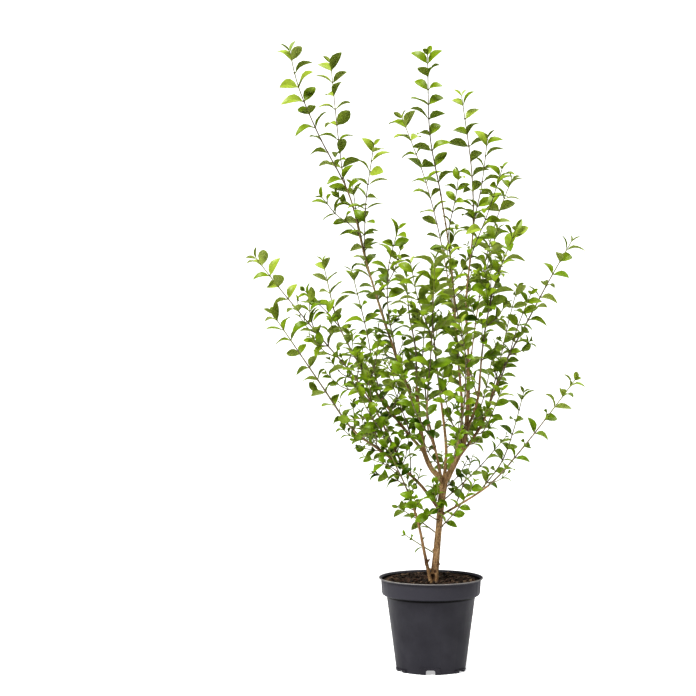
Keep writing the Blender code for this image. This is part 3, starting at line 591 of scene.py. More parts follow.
# the limbs' lines, by the same rule as the solids, their boughs thicker at the fork and thinner further out.
# Points and radii in millimetres
trunkShape = {
    "foot": (7, 0, 191.3), "way": [(11.5, 1, 250), (16.5, -1, 305), (21.5, 1, 362), (29, 0, 417)],
    "radii": (10, 8, 7, 6.8, 7.1, 8, 9), "rings": 9,
    "lobes": 4, "lobeTurn": 0.6, "lobeDepth": 0.8, "flare": 0.22, "flareReach": 0.052,
}
boughs = {
    "second_stem": {"foot": (-0.6, -15.2, 191.3), "radii": (3.6, 2),
                    "way": [(-16, -22, 262), (-30, -27, 328), (-52, -33, 392)]},
    "left_bough": {"from": ("trunk", 0.975), "off": (-4.2, -1, 0), "radii": (5.6, 3.1),
                   "way": [(-10, 0, 455), (-25, 10, 540), (-31, 30, 610)]},
    "left_outer_bough": {"from": ("left_bough", 0.34), "radii": (3.5, 2.3), "way": [(-60, -6, 525), (-118, 12, 600)]},
    "top_left_bough": {"from": ("left_bough", 0.66), "radii": (3.2, 2.3), "way": [(-66, 2, 655), (-100, 10, 750)]},
    "centre_bough": {"from": ("trunk", 0.985), "off": (0, 4.4, 0), "radii": (3.6, 2.3),
                     "way": [(34, 34, 480), (24, 72, 580)]},
    "right_bough": {"from": ("trunk", 0.985), "off": (4, -1.2, 0), "radii": (6, 3.4),
                    "way": [(70, 0, 490), (79, 4, 570), (81, 11, 670)]},
    "centre_top_bough": {"from": ("right_bough", 0.25), "radii": (3.2, 2.3), "way": [(68, 32, 570), (62, 50, 650)]},
    "right_upper_bough": {"from": ("right_bough", 0.38), "radii": (3, 2.2), "way": [(98, -32, 585), (102, -56, 640)]},
    "right_outer_bough": {"from": ("right_bough", 0.17), "radii": (3.2, 2.3), "way": [(108, -2, 530), (135, 4, 602)]},
    "low_left_bough": {"from": ("trunk", 0.68), "radii": (3.4, 2.5),
                       "way": [(-25, -20, 405), (-75, -35, 452), (-125, -42, 490)]},
    "low_left_fork": {"from": ("low_left_bough", 0.58), "radii": (2.4, 2), "way": [(-88, -56, 500), (-110, -74, 548)]},
    "low_right_bough": {"from": ("trunk", 0.63), "radii": (2.5, 2), "way": [(85, -24, 376), (122, -34, 403)]},
    "back_left_bough": {"from": ("trunk", 0.88), "radii": (2.7, 2.1), "way": [(12, 58, 470), (-2, 105, 530)]},
    "back_right_bough": {"from": ("trunk", 0.82), "radii": (2.7, 2.1), "way": [(52, 60, 452), (70, 108, 520)]},
    "front_left_bough": {"from": ("trunk", 0.91), "radii": (2.6, 2), "way": [(9, -50, 474), (-10, -95, 526)]},
    "front_right_bough": {"from": ("trunk", 0.85), "radii": (2.6, 2), "way": [(48, -55, 468), (56, -105, 522)]},
}
# widest beside its parent, how fast it thins, how it swells at a foot of its own, how far from an end it may start
boughRule = {"rings": 7, "ofParent": 0.88, "thinning": 1.1, "footSwell": 1.35, "fromEnd": 0.002}
# each mass: the limb it leaves and how far along, the way of its leader, any arms off the leader. What sets it apart:
# size of the leader's and the arms' leaves, how many twigs, how far from the tip they start, how many old leaves stay
foliage = {
    "leaves_top_left": {
        "from": ("top_left_bough", 1.0), "sizes": (1.05, 1.08), "twigs": 1.1, "twigFrom": 0.26,
        "way": [(-145, 24, 900), (-178, 28, 1030), (-240, -8, 1150), (-285, -30, 1255), (-303, -40, 1328)],
        "arms": [(0.50, [(-202, 78, 1160), (-218, 128, 1318)]), (0.20, [(-160, 62, 980), (-168, 80, 1035)]),
                 (0.24, [(-142, -50, 1010), (-128, -126, 1115)]), (0.33, [(-205, 0, 985), (-226, -20, 1010)])]},
    "leaves_left_inner": {
        "from": ("top_left_bough", 0.66), "twigs": 0.5, "oldLeaves": 0.7,
        "way": [(-94, -35, 780), (-94, -60, 870), (-78, -108, 940)]},
    "leaves_left_back": {
        "from": ("top_left_bough", 0.40), "twigs": 0.8, "way": [(-85, 60, 710), (-110, 105, 790), (-140, 160, 872)]},
    "leaves_far_left": {
        "from": ("low_left_fork", 1.0), "twigs": 2.0, "twigFrom": 0.12, "oldLeaves": 1.4,
        "way": [(-162, -94, 635), (-235, -115, 722), (-310, -130, 812), (-362, -130, 878)],
        "arms": [(0.58, [(-262, -85, 795)])]},
    "leaves_low_far_left": {
        "from": ("low_left_bough", 1.0), "sizes": (1.05,), "twigs": 1.5, "oldLeaves": 1.5,
        "way": [(-175, -46, 530), (-240, -50, 625), (-295, -42, 705), (-332, -26, 758)]},
    "leaves_left_outer": {
        "from": ("left_outer_bough", 1.0), "twigs": 0.8, "oldLeaves": 1.4,
        "way": [(-155, 36, 660), (-202, 72, 750), (-232, 110, 868)], "arms": [(0.55, [(-262, 62, 808)])]},
    "leaves_left_mid": {
        "from": ("left_outer_bough", 0.80), "twigs": 0.9,
        "way": [(-122, -16, 640), (-140, -20, 735), (-168, -35, 848)]},
    "leaves_left_behind": {
        "from": ("left_outer_bough", 0.50), "oldLeaves": 0.7, "way": [(-98, 60, 580), (-140, 160, 655)]},
    "leaves_left_near": {
        "from": ("left_outer_bough", 0.26), "sizes": (0.90,), "twigs": 0.7, "oldLeaves": 0.7,
        "way": [(-62, -50, 560), (-92, -100, 640)]},
    "leaves_low_left_front": {
        "from": ("low_left_fork", 0.62), "sizes": (0.90,), "twigs": 0.8, "twigFrom": 0.08, "oldLeaves": 0.7,
        "way": [(-122, -120, 545), (-165, -198, 625)],
        "arms": [(0.45, [(-170, -115, 552)]), (0.20, [(-150, -85, 512)])]},
    "leaves_low_left_inner": {
        "from": ("low_left_bough", 0.50), "sizes": (1.12,), "twigs": 3.0, "twigFrom": 0.04,
        "way": [(-75, 10, 450), (-120, 50, 500)], "arms": [(0.55, [(-140, 16, 478)])]},
    "leaves_centre_back": {
        "from": ("left_bough", 1.0), "twigs": 0.70, "way": [(-32, 58, 690), (-45, 98, 765), (-50, 145, 835)]},
    "leaves_centre_front": {
        "from": ("front_left_bough", 1.0), "sizes": (1.25,), "twigs": 0.50, "twigFrom": 0.08,
        "way": [(-12, -128, 610), (-5, -155, 720), (0, -180, 872)],
        "arms": [(0.58, [(-32, -150, 800), (-46, -160, 865)])]},
    "leaves_centre": {
        "from": ("centre_bough", 1.0), "sizes": (1.20,), "twigs": 1.30, "twigFrom": 0.08,
        "way": [(14, 80, 660), (6, 70, 750), (2, 35, 845)]},
    "leaves_top_centre": {
        "from": ("centre_top_bough", 1.0), "sizes": (1.06, 0.80), "twigs": 0.2, "oldLeaves": 0.30,
        "way": [(55, 70, 760), (44, 66, 890), (21, 35, 1030), (-4, 4, 1160), (-10, -28, 1322)],
        "arms": [(0.42, [(50, 10, 1010), (56, -22, 1060)])]},
    "leaves_top_centre_back": {
        "from": ("centre_top_bough", 0.80), "sizes": (1.08,), "twigs": 0.4,
        "way": [(52, 108, 770), (24, 135, 935), (-10, 168, 1070), (-50, 192, 1180)]},
    "leaves_top_right": {
        "from": ("right_bough", 1.0), "twigs": 0.2, "oldLeaves": 0.40,
        "way": [(76, 18, 800), (90, 12, 955), (88, 45, 1085), (72, 72, 1215)],
        "arms": [(0.52, [(106, -25, 1045), (114, -68, 1130)]), (0.40, [(116, -70, 985), (138, -142, 1065)])]},
    "leaves_right_back": {
        "from": ("right_bough", 0.86), "twigs": 0.5, "twigFrom": 0.10,
        "way": [(100, 60, 760), (122, 95, 885), (150, 140, 980), (178, 168, 1050)],
        "arms": [(0.42, [(142, 66, 938)])]},
    "leaves_right_front": {
        "from": ("right_upper_bough", 1.0), "sizes": (1.18,), "twigs": 1.9, "twigFrom": 0.05,
        "way": [(110, -85, 735), (130, -118, 840), (163, -165, 935)], "arms": [(0.50, [(124, -72, 900)])]},
    "leaves_right_inner": {
        "from": ("right_upper_bough", 0.64), "twigs": 0.1, "oldLeaves": 0.7,
        "way": [(72, -72, 680), (52, -88, 775), (32, -108, 890)]},
    "leaves_right_behind": {
        "from": ("right_outer_bough", 0.72), "sizes": (0.85,), "twigs": 0.1, "oldLeaves": 0.6,
        "way": [(150, 55, 660), (170, 90, 740), (192, 140, 812)]},
    "leaves_right_ahead": {
        "from": ("right_outer_bough", 0.86), "sizes": (0.85,), "twigs": 0.1, "oldLeaves": 0.6,
        "way": [(158, -32, 660), (178, -62, 735), (200, -105, 802)]},
    "leaves_right_near": {
        "from": ("right_outer_bough", 0.42), "twigs": 0.2, "way": [(112, -50, 525), (140, -110, 600)]},
    "leaves_far_right": {
        "from": ("right_outer_bough", 1.0), "sizes": (0.95,), "twigs": 0.6, "oldLeaves": 1.5,
        "way": [(164, 16, 672), (200, 20, 738), (250, 10, 835), (292, -6, 912)]},
    "leaves_low_far_right": {
        "from": ("low_right_bough", 1.0), "sizes": (1.10,), "twigs": 0.5,
        "way": [(155, -46, 438), (205, -55, 500), (258, -62, 570), (294, -60, 618)]},
    "leaves_low_right": {
        "from": ("low_right_bough", 0.78), "twigs": 0.60, "way": [(150, 6, 445), (178, 30, 510), (200, 60, 582)]},
    "leaves_low_right_back": {"from": ("trunk", 0.76), "way": [(98, 52, 425), (160, 118, 485)]},
    "leaves_low_right_front": {"from": ("trunk", 0.50), "way": [(55, -55, 355), (82, -105, 408)]},
    "leaves_low_twig": {"from": ("trunk", 0.26), "way": [(-18, -2, 268), (-42, -8, 284)]},
    "leaves_low_left": {
        "from": ("trunk", 0.58), "sizes": (1.12,), "twigs": 2.0, "way": [(-10, -55, 345), (-42, -115, 385)]},
    "leaves_low_left_back": {"from": ("trunk", 0.45), "twigs": 2.0, "way": [(-20, 50, 315), (-58, 92, 335)]},
    "leaves_second_stem": {
        "from": ("second_stem", 1.0), "twigs": 2.0, "twigFrom": 0.04, "way": [(-78, -75, 450), (-96, -120, 495)],
        "arms": [(0.40, [(-128, -68, 462)]), (0.12, [(-106, -40, 425)])]},
    "leaves_front_left": {
        "from": ("front_left_bough", 0.80), "twigs": 0.9, "way": [(-38, -165, 570), (-68, -245, 655)]},
    "leaves_front_right": {
        "from": ("front_right_bough", 1.0), "sizes": (0.90,), "twigs": 0.5,
        "way": [(64, -150, 590), (64, -200, 675), (55, -240, 745)]},
    "leaves_front_low": {
        "from": ("front_right_bough", 0.60), "sizes": (0.80,), "way": [(44, -140, 480), (50, -215, 530)]},
    "leaves_back_left": {
        "from": ("back_left_bough", 1.0), "way": [(-8, 160, 600), (-12, 205, 670), (-5, 240, 745)]},
    "leaves_back_far_left": {"from": ("back_left_bough", 0.78), "way": [(-52, 160, 560), (-95, 232, 675)]},
    "leaves_back_right": {
        "from": ("back_right_bough", 1.0), "twigs": 0.6, "oldLeaves": 0.6,
        "way": [(72, 160, 605), (64, 208, 700), (56, 245, 805)]},
    "leaves_back_far_right": {
        "from": ("back_right_bough", 0.74), "twigs": 0.6, "way": [(115, 150, 560), (150, 240, 680)]},
    "leaves_inner_front": {
        "from": ("right_bough", 0.30), "sizes": (0.88,), "twigs": 0.05, "oldLeaves": 0.6,
        "way": [(36, -38, 560), (22, -60, 640)]},
    "leaves_inner_left": {"from": ("left_bough", 0.84), "way": [(-58, 52, 620), (-78, 95, 680)]},
}


def metres(points):
    return [Vector([c / 1000 for c in point]) for point in points]


def evenSteps(points, count):
    lengths = [0.0]
    for a, b in zip(points, points[1:]):
        lengths.append(lengths[-1] + (b - a).length)
    out, seg = [], 0
    for k in range(count):
        want = lengths[-1] * k / (count - 1)
        while seg < len(points) - 2 and lengths[seg + 1] < want:
            seg += 1
        span = max(lengths[seg + 1] - lengths[seg], 1e-9)
        out.append(points[seg].lerp(points[seg + 1], (want - lengths[seg]) / span))
    return out


def smoothLine(knots, count):
    # a curve through the knots, in even steps
    ends = [knots[0] * 2 - knots[1]] + knots + [knots[-1] * 2 - knots[-2]]
    fine = []
    for a, b, c, d in zip(ends, ends[1:], ends[2:], ends[3:]):
        for step in range(12):
            t = step / 12
            fine.append(0.5 * (2 * b + (c - a) * t + (2 * a - 5 * b + 4 * c - d) * t * t
                               + (3 * b - a - 3 * c + d) * t ** 3))
    fine.append(knots[-1].copy())
    return evenSteps(fine, count)


def lineLength(points):
    return sum((b - a).length for a, b in zip(points, points[1:]))


def along(points, share):
    place = min(max(share, 0.0), 1.0) * (len(points) - 1)
    k = min(int(place), len(points) - 2)
    return points[k].lerp(points[k + 1], place - k), (points[k + 1] - points[k]).normalized()


def radiusAt(radii, share):
    return float(np.interp(share, np.linspace(0, 1, len(radii)), radii))


def framesAlong(points):
    # two cross directions at each point, with no twist along the line
    last = len(points) - 1
    tangents = [(points[min(k + 1, last)] - points[max(k - 1, 0)]).normalized() for k in range(last + 1)]
    side = tangents[0].orthogonal().normalized()
    found = []
    for tangent in tangents:
        side = (side - tangent * side.dot(tangent)).normalized()
        found.append((side.copy(), tangent.cross(side)))
    return found


def taper(first, last, count, power=1.0):
    return [first + (last - first) * (k / (count - 1)) ** power for k in range(count)]


def startOn(spec):
    # where a bough or a leader leaves its limb
    limbName, share = spec["from"]
    points, radii = limbs[limbName]
    share = min(share, 1 - boughRule["fromEnd"] / lineLength(points))
    point, tangent = along(points, share)
    radius = radii[min(round(share * (len(radii) - 1)), len(radii) - 1)]
    return point + metres([spec.get("off", (0, 0, 0))])[0], tangent, radius


trunkRadii = [radius / 1000 for radius in trunkShape["radii"]]
trunkSteps = trunkShape["rings"] - 1
limbs = {"trunk": (smoothLine(metres([trunkShape["foot"]] + trunkShape["way"]), trunkShape["rings"]),
                   [radiusAt(trunkRadii, k / trunkSteps) for k in range(trunkSteps + 1)])}
for boughName, spec in boughs.items():
    firstRadius, lastRadius = (radius / 1000 for radius in spec["radii"])
    if "foot" in spec:
        knots = metres([spec["foot"]])
    else:
        start, _, parentRadius = startOn(spec)
        knots = [start]
        firstRadius = min(firstRadius, boughRule["ofParent"] * parentRadius)
    radii = taper(firstRadius, lastRadius, boughRule["rings"], boughRule["thinning"])
    if "foot" in spec:
        radii[0] *= boughRule["footSwell"]
    limbs[boughName] = (smoothLine(knots + metres(spec["way"]), boughRule["rings"]), radii)

# bark: the limbs drawn as round curves, melted into one wooden body, then given relief
barkShape = {
    "step": 0.003, "voxel": 0.00108, "melt": 6, "sunk": 0.005, "trunkFoot": 1.05,
    "collar": 1.28, "collarLength": 0.010, "insideParent": 0.9,
    "lumps": 0.00085, "fissures": 0.00034, "warts": 0.00048, "wartReach": 0.42, "inflate": 0.00010, "melted": 0.0009,
    # the relief is full at this radius, and thinner and thicker wood has less and more of it
    "fullRadius": 0.0075, "reliefRange": (0.28, 1.3),
    # leaf scars: how far apart, how high, how wide, how much aslant and how uneven, with a groove over each
    "ringGap": 0.0245, "ringHeight": 0.00056, "ringWidth": 0.0014, "ringSlant": 0.22, "ringWobble": 0.0016,
    "grooveOff": 0.0026, "grooveWidth": 0.0010, "grooveDepth": 0.8,
    # unevenness of the scars' places and of their force: scale across and along, how far apart from limb to limb
    "uneven": ((90, 22, 1), (140, 40, 5)), "scarForce": (0.35, 1.0), "scarSteps": (0.62, 1.35),
    "firstScar": (0.006, 0.020), "patchy": (0.75, 1.3, 0.1),
    # relief drawn out along the limb: scales, and how much the length counts in them
    "crackScale": 620, "coarseScale": 260, "lumpScale": 95, "wartScale": 330, "drawnOut": 0.20, "wartDrawnOut": 0.55,
    "limbApart": 0.05, "cracksOpen": 2.2, "coarse": 0.9,
    # wood grows old from the first radius on, over the second; how dark rings, cracks and spots are
    "ageRadii": (0.0022, 0.0045), "darkRing": (0.60, 0.0024, 0.0012), "darkCrack": 0.60, "darkSpot": 1.35,
    # knots and dead stubs: height share on the trunk, turn, length, first and last radius. Each starts this many
    # radii off the trunk's line and reaches this many of its lengths out and up
    "stubReach": (0.3, 0.75, 0.5),
    "stubs": ((0.06, 3.5, 0.010, 0.0040, 0.0020), (0.10, 1.9, 0.007, 0.0034, 0.0020),
              (0.235, 0.4, 0.0045, 0.0030, 0.0020), (0.37, 3.9, 0.005, 0.0032, 0.0018),
              (0.53, 5.4, 0.004, 0.0030, 0.0018), (0.80, 0.9, 0.006, 0.0032, 0.0020),
              (0.90, 3.0, 0.0085, 0.0030, 0.0018), (0.16, 5.9, 0.0035, 0.0030, 0.0020),
              (0.29, 2.4, 0.0040, 0.0028, 0.0018), (0.45, 1.2, 0.0035, 0.0028, 0.0018),
              (0.66, 4.2, 0.0050, 0.0028, 0.0016)),
    # a heel of wood between the two stems, and a broken stub on the thin one: first and last point, their radii
    "pegs": (((0.0035, -0.0080, 0.186), (0.0030, -0.0078, 0.2085), 0.0046, 0.0030),
             ((-0.0105, -0.0205, 0.229), (-0.0130, -0.0208, 0.250), 0.0034, 0.0030),
             ((-0.0110, -0.0205, 0.233), (-0.0036, -0.0195, 0.2425), 0.0029, 0.0019)),
    # places where the bark has gone dark: centre, reach
    "darkPlaces": (((-0.0085, -0.0200, 0.2385), 0.0085), ((0.0015, -0.0105, 0.203), 0.0075),
                   ((0.0085, -0.0085, 0.214), 0.0042)),
}


def roundCurve(name, points, radii):
    # a bezier's line swapped for the limb's own points, with a round bevel, turned into a mesh
    bevel = 0.01
    curve = addShape(bpy.ops.curve.primitive_bezier_curve_add, name, radius=bevel).data
    curve.splines.clear()
    spline = curve.splines.new("POLY")
    spline.points.add(len(points) - 1)
    for spot, point, radius in zip(spline.points, points, radii):
        spot.co = (*point, 1.0)
        spot.radius = radius / bevel
    curve.dimensions = "3D"
    curve.bevel_depth = bevel
    curve.bevel_resolution = 5
    curve.use_fill_caps = True
    bpy.ops.object.convert(target="MESH")
    return bpy.context.object


def roundPeg(name, start, end, first, last):
    return roundCurve(name, [start, start.lerp(end, 0.5), end], [first, (first + last) / 2, last])


def makeWood():
    b = barkShape
    rounds = []
    for name, (points, radii) in limbs.items():
        count = max(8, round(lineLength(points) / b["step"]))
        line = smoothLine(points, count)
        shares = np.linspace(0, 1, count)
        sizes = np.interp(shares, np.linspace(0, 1, len(radii)), radii)
        if "from" in boughs.get(name, ()):
            parentRadius = limbs[boughs[name]["from"][0]][1][-1] * b["insideParent"]
            past = np.maximum(shares * lineLength(points) - parentRadius, 0.0)
            sizes = sizes * (1 + (b["collar"] - 1) * np.exp(-past / b["collarLength"]))
        else:  # the two stems stand on a foot sunk in the soil
            line = [line[0] - up * b["sunk"]] + line
            sizes = np.concatenate([[sizes[0] * (b["trunkFoot"] if name == "trunk" else 1.0)], sizes])
        rounds.append(roundCurve(name + "Round", line, sizes))
    trunkLine, trunkRadii = limbs["trunk"]
    inside, outside, upward = b["stubReach"]
    for k, (share, turn, length, first, last) in enumerate(b["stubs"]):
        point, tangent = along(trunkLine, share)
        outward = Matrix.Rotation(turn, 3, tangent) @ tangent.orthogonal().normalized()
        radius = radiusAt(trunkRadii, share)
        end = point + outward * (radius + length * outside) + tangent * length * upward
        rounds.append(roundPeg(f"stub{k}", point + outward * radius * inside, end, first, last))
    for k, (start, end, first, last) in enumerate(b["pegs"]):
        rounds.append(roundPeg(f"peg{k}", Vector(start), Vector(end), first, last))
    wood = joinAll(rounds, "woodyLimbs")
    useModifier(wood, "REMESH", mode="VOXEL", voxel_size=b["voxel"], adaptivity=0.0)
    useModifier(wood, "SMOOTH", factor=0.5, iterations=b["melt"])
    return wood


def limbPlaces(points):
    # for each point: the limb it lies on, how far along it, how far from its line, and its turn round the line
    best = np.full(len(points), 1e9)
    names = np.zeros(len(points), int)
    reach, out, turn, wide = (np.zeros(len(points)) for _ in range(4))
    for index, (line, radii) in enumerate(limbs.values()):
        gone = 0.0
        frames = framesAlong(line)
        for k, (a, b) in enumerate(zip(line, line[1:])):
            way = np.array(b - a)
            length = np.linalg.norm(way)
            share = np.clip((points - np.array(a)) @ way / length ** 2, 0, 1)
            across = points - (np.array(a) + share[:, None] * way)
            far = np.linalg.norm(across, axis=1)
            radius = radii[k] + (radii[k + 1] - radii[k]) * share
            better = far - radius < best
            side, other = np.array(frames[k][0]), np.array(frames[k][1])
            around = np.arctan2(across @ other, across @ side)
            for kept, found in ((best, far - radius), (reach, gone + share * length), (out, far), (wide, radius),
                                (turn, around)):
                kept[better] = found[better]
            names[better] = index
            gone += length
    return names, reach, out, wide, turn


def readMesh(source, name):
    values = np.empty(len(source) * 3)
    source.foreach_get(name, values)
    return values.reshape(-1, 3)


def noiseAt(places, scale=1.0, shift=(0.0, 0.0, 0.0)):
    return np.array([noise.noise(Vector(p) * scale + Vector(shift)) for p in places])


def hump(off, wide):
    return np.exp(-(off / wide) ** 2)


def carveBark(wood):
    b = barkShape
    mesh = wood.data
    points, normals = readMesh(mesh.vertices, "co"), readMesh(mesh.vertex_normals, "vector")
    names, reach, out, wide, turn = limbPlaces(points)
    x, y, z = points.T
    wobble, patchy = (noiseAt(np.stack([x * across, y * across, z * onward + apart * names], axis=1))
                      for across, onward, apart in b["uneven"])
    # the scars left by fallen leaves, unevenly spaced and a little aslant: a raised ring with a groove over it
    dice = random.Random("scars")
    phase, force = np.full(len(points), 1.0), np.zeros(len(points))
    for index, (line, _) in enumerate(limbs.values()):
        mine = names == index
        place = dice.uniform(*b["firstScar"])
        while place < lineLength(line):
            slant, facing = dice.uniform(0, b["ringSlant"]), dice.uniform(0, 2 * math.pi)
            off = reach - place - slant * wide * np.cos(turn - facing) + wobble * b["ringWobble"]
            closer = mine & (np.abs(off) < np.abs(phase))
            phase[closer] = off[closer]
            force[closer] = dice.uniform(*b["scarForce"])
            place += b["ringGap"] * dice.uniform(*b["scarSteps"])
    middle, more, least = b["patchy"]
    force *= np.clip(middle + patchy * more, least, 1.0)
    ring = force * (hump(phase, b["ringWidth"]) - b["grooveDepth"] * hump(phase - b["grooveOff"], b["grooveWidth"]))
    # long cracks that run with the limb, and small corky warts
    flatX, flatY = np.cos(turn) * wide, np.sin(turn) * wide
    placed, wartPlaces = (np.stack([flatX, flatY, reach * drawn + names * b["limbApart"]], axis=1)
                          for drawn in (b["drawnOut"], b["wartDrawnOut"]))
    fissure = np.clip(1 - np.abs(noiseAt(placed, b["crackScale"])) * b["cracksOpen"], 0, 1)
    coarse = noiseAt(placed, b["coarseScale"])
    lumps = noiseAt(placed, b["lumpScale"], (7.0, 0.0, 0.0))
    wart = np.array([noise.voronoi(Vector(p) * b["wartScale"])[0][0] for p in wartPlaces])
    wartRise = np.clip(1 - wart / b["wartReach"], 0, 1) ** 2
    relief = (b["ringHeight"] * ring - b["fissures"] * fissure ** 3 + b["fissures"] * b["coarse"] * coarse
              + b["lumps"] * lumps + b["warts"] * wartRise)
    shrunk = np.clip(wide - out, 0, b["melted"])  # what the melting took off
    height = shrunk + np.clip(wide / b["fullRadius"], *b["reliefRange"]) * relief + b["inflate"]
    t = trunkShape
    lobed = np.where(names == 0, t["flare"] * np.clip(1 - reach / t["flareReach"], 0, 1) ** 2
                     * np.cos(t["lobes"] * turn + t["lobeTurn"]) * out, 0.0)
    moved = points + normals * (height + lobed * t["lobeDepth"])[:, None]
    mesh.vertices.foreach_set("co", moved.ravel())
    mesh.update()
    # what the material reads: how old the wood is, how dark its rings and cracks are, and a place along the limb
    young, span = b["ageRadii"]
    age = np.clip((wide - young) / span, 0, 1)
    strength, off, spread = b["darkRing"]
    dark = np.clip(strength * force * hump(phase - off, spread) + b["darkCrack"] * fissure ** 4, 0, 1)
    for centre, spread in b["darkPlaces"]:
        far = np.linalg.norm(points - np.array(centre), axis=1)
        dark = np.maximum(dark, np.clip(b["darkSpot"] * hump(far, spread) * (0.8 + patchy), 0, 1))
    for name, kind, key, values in (("woodAge", "FLOAT", "value", age), ("barkDark", "FLOAT", "value", dark),
                                    ("barkWart", "FLOAT", "value", wartRise),
                                    ("barkPlace", "FLOAT_VECTOR", "vector", placed)):
        layer = mesh.attributes.new(name, kind, "POINT")
        layer.data.foreach_set(key, values.astype(np.float32).ravel())
    mesh.shade_smooth()


def barkMaterial():
    mat = newMaterial("tanBark")
    age, dark, wart, place = (
        addNode(mat, "ShaderNodeAttribute", attribute_name=name).outputs[output]
        for name, output in (("woodAge", "Fac"), ("barkDark", "Fac"), ("barkWart", "Fac"), ("barkPlace", "Vector")))
    grain = noiseOf(mat, place, 900.0, 6.0, 0.65)
    broad = rampOf(mat, noiseOf(mat, place, 150.0, 3.0), 0.35, 0.65)
    old = mixColour(mat, broad, srgb(150, 119, 85), srgb(206, 175, 134))
    young = mixColour(mat, broad, srgb(131, 103, 74), srgb(181, 150, 111))
    base = mixColour(mat, age, young, old)
    base = mixColour(mat, rampOf(mat, grain, 0.47, 0.66, 0.0, 0.70), base, srgb(104, 76, 48))
    base = mixColour(mat, timesOf(mat, dark, 0.9), base, srgb(66, 42, 30))
    base = mixColour(mat, timesOf(mat, wart, 0.45), base, srgb(214, 190, 148))
    return finishLook(mat, base, rampOf(mat, grain, 0.3, 0.7, 0.68, 0.90), bumpOf(mat, grain, 0.55, 0.0004), 0.35)


wood = makeWood()
carveBark(wood)
dress(wood, "trunk_bark", list(limbs), barkMaterial())
print("limbs made:", len(wood.data.polygons), "faces")

# the shoots' lines: the leaders and arms of the solids and a few arms more, then finer twigs by the same rule
growth = {
    # leaders: radii, how far the tip runs on past its last point by height, bare length at the foot
    "stemRadii": (0.0015, 0.0010), "tipRadius": 0.00085, "limbTipRadius": 0.0024, "runOn": 0.012,
    "ofParent": 0.92, "ofTip": 0.97,  # widest beside the limb it leaves, or the limb it carries on
    "tipReach": ((0.95, 0.018), (1.16, 0.018), (1.20, 0.034), (1.23, 0.030), (1.30, 0.004)),
    "bareLength": 0.022, "armBare": 0.014, "shortArm": 0.11, "armRise": 0.010, "armWidth": 0.75,
    # how finely the lines are drawn
    "leaderStep": 0.040, "armStep": 0.045, "fineStep": 0.009, "twigStep": 0.011,
    # pairs of leaves: steps and sizes from the tip down, then a full step apart
    "internode": 0.031, "firstPair": 0.0015, "grownSizes": (0.88, 1.12), "grownSteps": (0.88, 1.14), "longest": 1.1,
    "stretch": {"leader": (0.85, 1.15), "twig": (0.7, 1.3), "twiglet": (0.7, 1.3)}, "vigour": (0.95, 1.25),
    "tipSteps": {"leader": (0.020, 0.029, 0.031), "twig": (0.015, 0.025, 0.030), "twiglet": (0.015, 0.025, 0.030)},
    "tipSizes": {"leader": (0.50, 0.92, 1.0), "twig": (0.44, 0.80, 0.94), "twiglet": (0.44, 0.80, 0.94)},
    # pairs swing this far either side of the shoot's own plane, which is about square to the viewer
    "pairSwing": 0.55, "turnSpread": 0.16, "planeSpread": {"leader": 0.40, "twig": 0.9, "twiglet": 1.2},
    # twigs: how far from the tip they start, the chance of one and of a second at each pair, fewer high up
    "twigFrom": 0.17, "twigChances": (0.50, 0.20), "twigsByHeight": ((0.80, 0.98), (1.0, 0.12)),
    "twigLengths": (0.030, 0.125), "twigInternode": 0.024, "twigRadii": (0.0011, 0.0007), "twigBare": 0.008,
    "twigletFrom": 0.055, "twigletNode": 3, "twigletChance": 0.35, "twigletLengths": (0.020, 0.040),
    "lean": (0.62, 0.78), "turnUp": (0.72, 0.42, 0.14), "wander": 0.07, "lowestRise": 0.12, "clearance": 0.0040,
    "lengthTries": (1.0, 0.74, 0.5), "shortest": 0.016, "room": 0.018, "limbRoom": 0.05,
    "readyFrom": 0.30, "readyLength": 0.18, "lengthGain": 0.30, "lengthSpread": (0.72, 1.2),
    "swings": (0.0, 0.8, -0.8), "limbSwings": (0.0, 1.3, -1.3),
    # how near its foot a twig may touch, and how many radii of a limb further. How wide it is for its length:
    # least, per metre, most
    "footRoom": (0.009, 1.6), "twigWidth": (0.8, 5, 1.25), "twigLeaf": {"twig": 0.90, "twiglet": 0.80},
    # small twigs straight from the limbs: how far apart, the chance of one, how long. limb: (chance, step)
    "limbTwigStep": 0.026, "limbTwigChance": 0.34, "limbTwigLengths": (0.030, 0.120), "limbTwigsFrom": 0.33,
    "limbTwigFirst": 0.02, "limbTwigTurn": 0.3, "limbTwigSteps": (0.8, 1.25), "limbTwigReach": (0.7, 0.2),
    "limbTwigs": {"low_left_bough": (0.85, 0.014), "low_left_fork": (0.85, 0.016), "second_stem": (0.75, 0.016),
                  "left_outer_bough": (0.5, 0.020), "low_right_bough": (0.35, 0.020), "trunk": (0.45, 0.026),
                  "right_bough": (0.2, 0.026), "right_outer_bough": (0.2, 0.026), "right_upper_bough": (0.2, 0.026)},
    # short spurs with tiny leaves along the older wood: how far apart, how long, size of their leaves
    "spurStep": 0.050, "spurChance": 0.45, "spurLengths": (0.010, 0.022), "spurInternode": 0.0065,
    "spurLeaf": 0.42, "spurHeights": (0.40, 0.92), "spurRadii": (0.0008, 0.0005), "spurFree": 0.20,
    "spurLean": (0.55, 0.80, 0.25), "spurBare": 0.004, "spurVigour": 1.6, "spurSizes": (0.8, 1.25),
    "spurSteps": (0.6, 1.5), "spurTurns": (1.0, 2.4), "spurFromLimbs": 0.0015, "spurFromShoots": 0.0030,
    "spurFirst": 0.05, "spurTurnUp": 0.15,
}
shoots = []  # each: mass, kind, points, radii, nodes (distance from the foot, turn, leaf size, distance from the tip)
shootStarts, shootEnds = [], []
leaderLines = {}
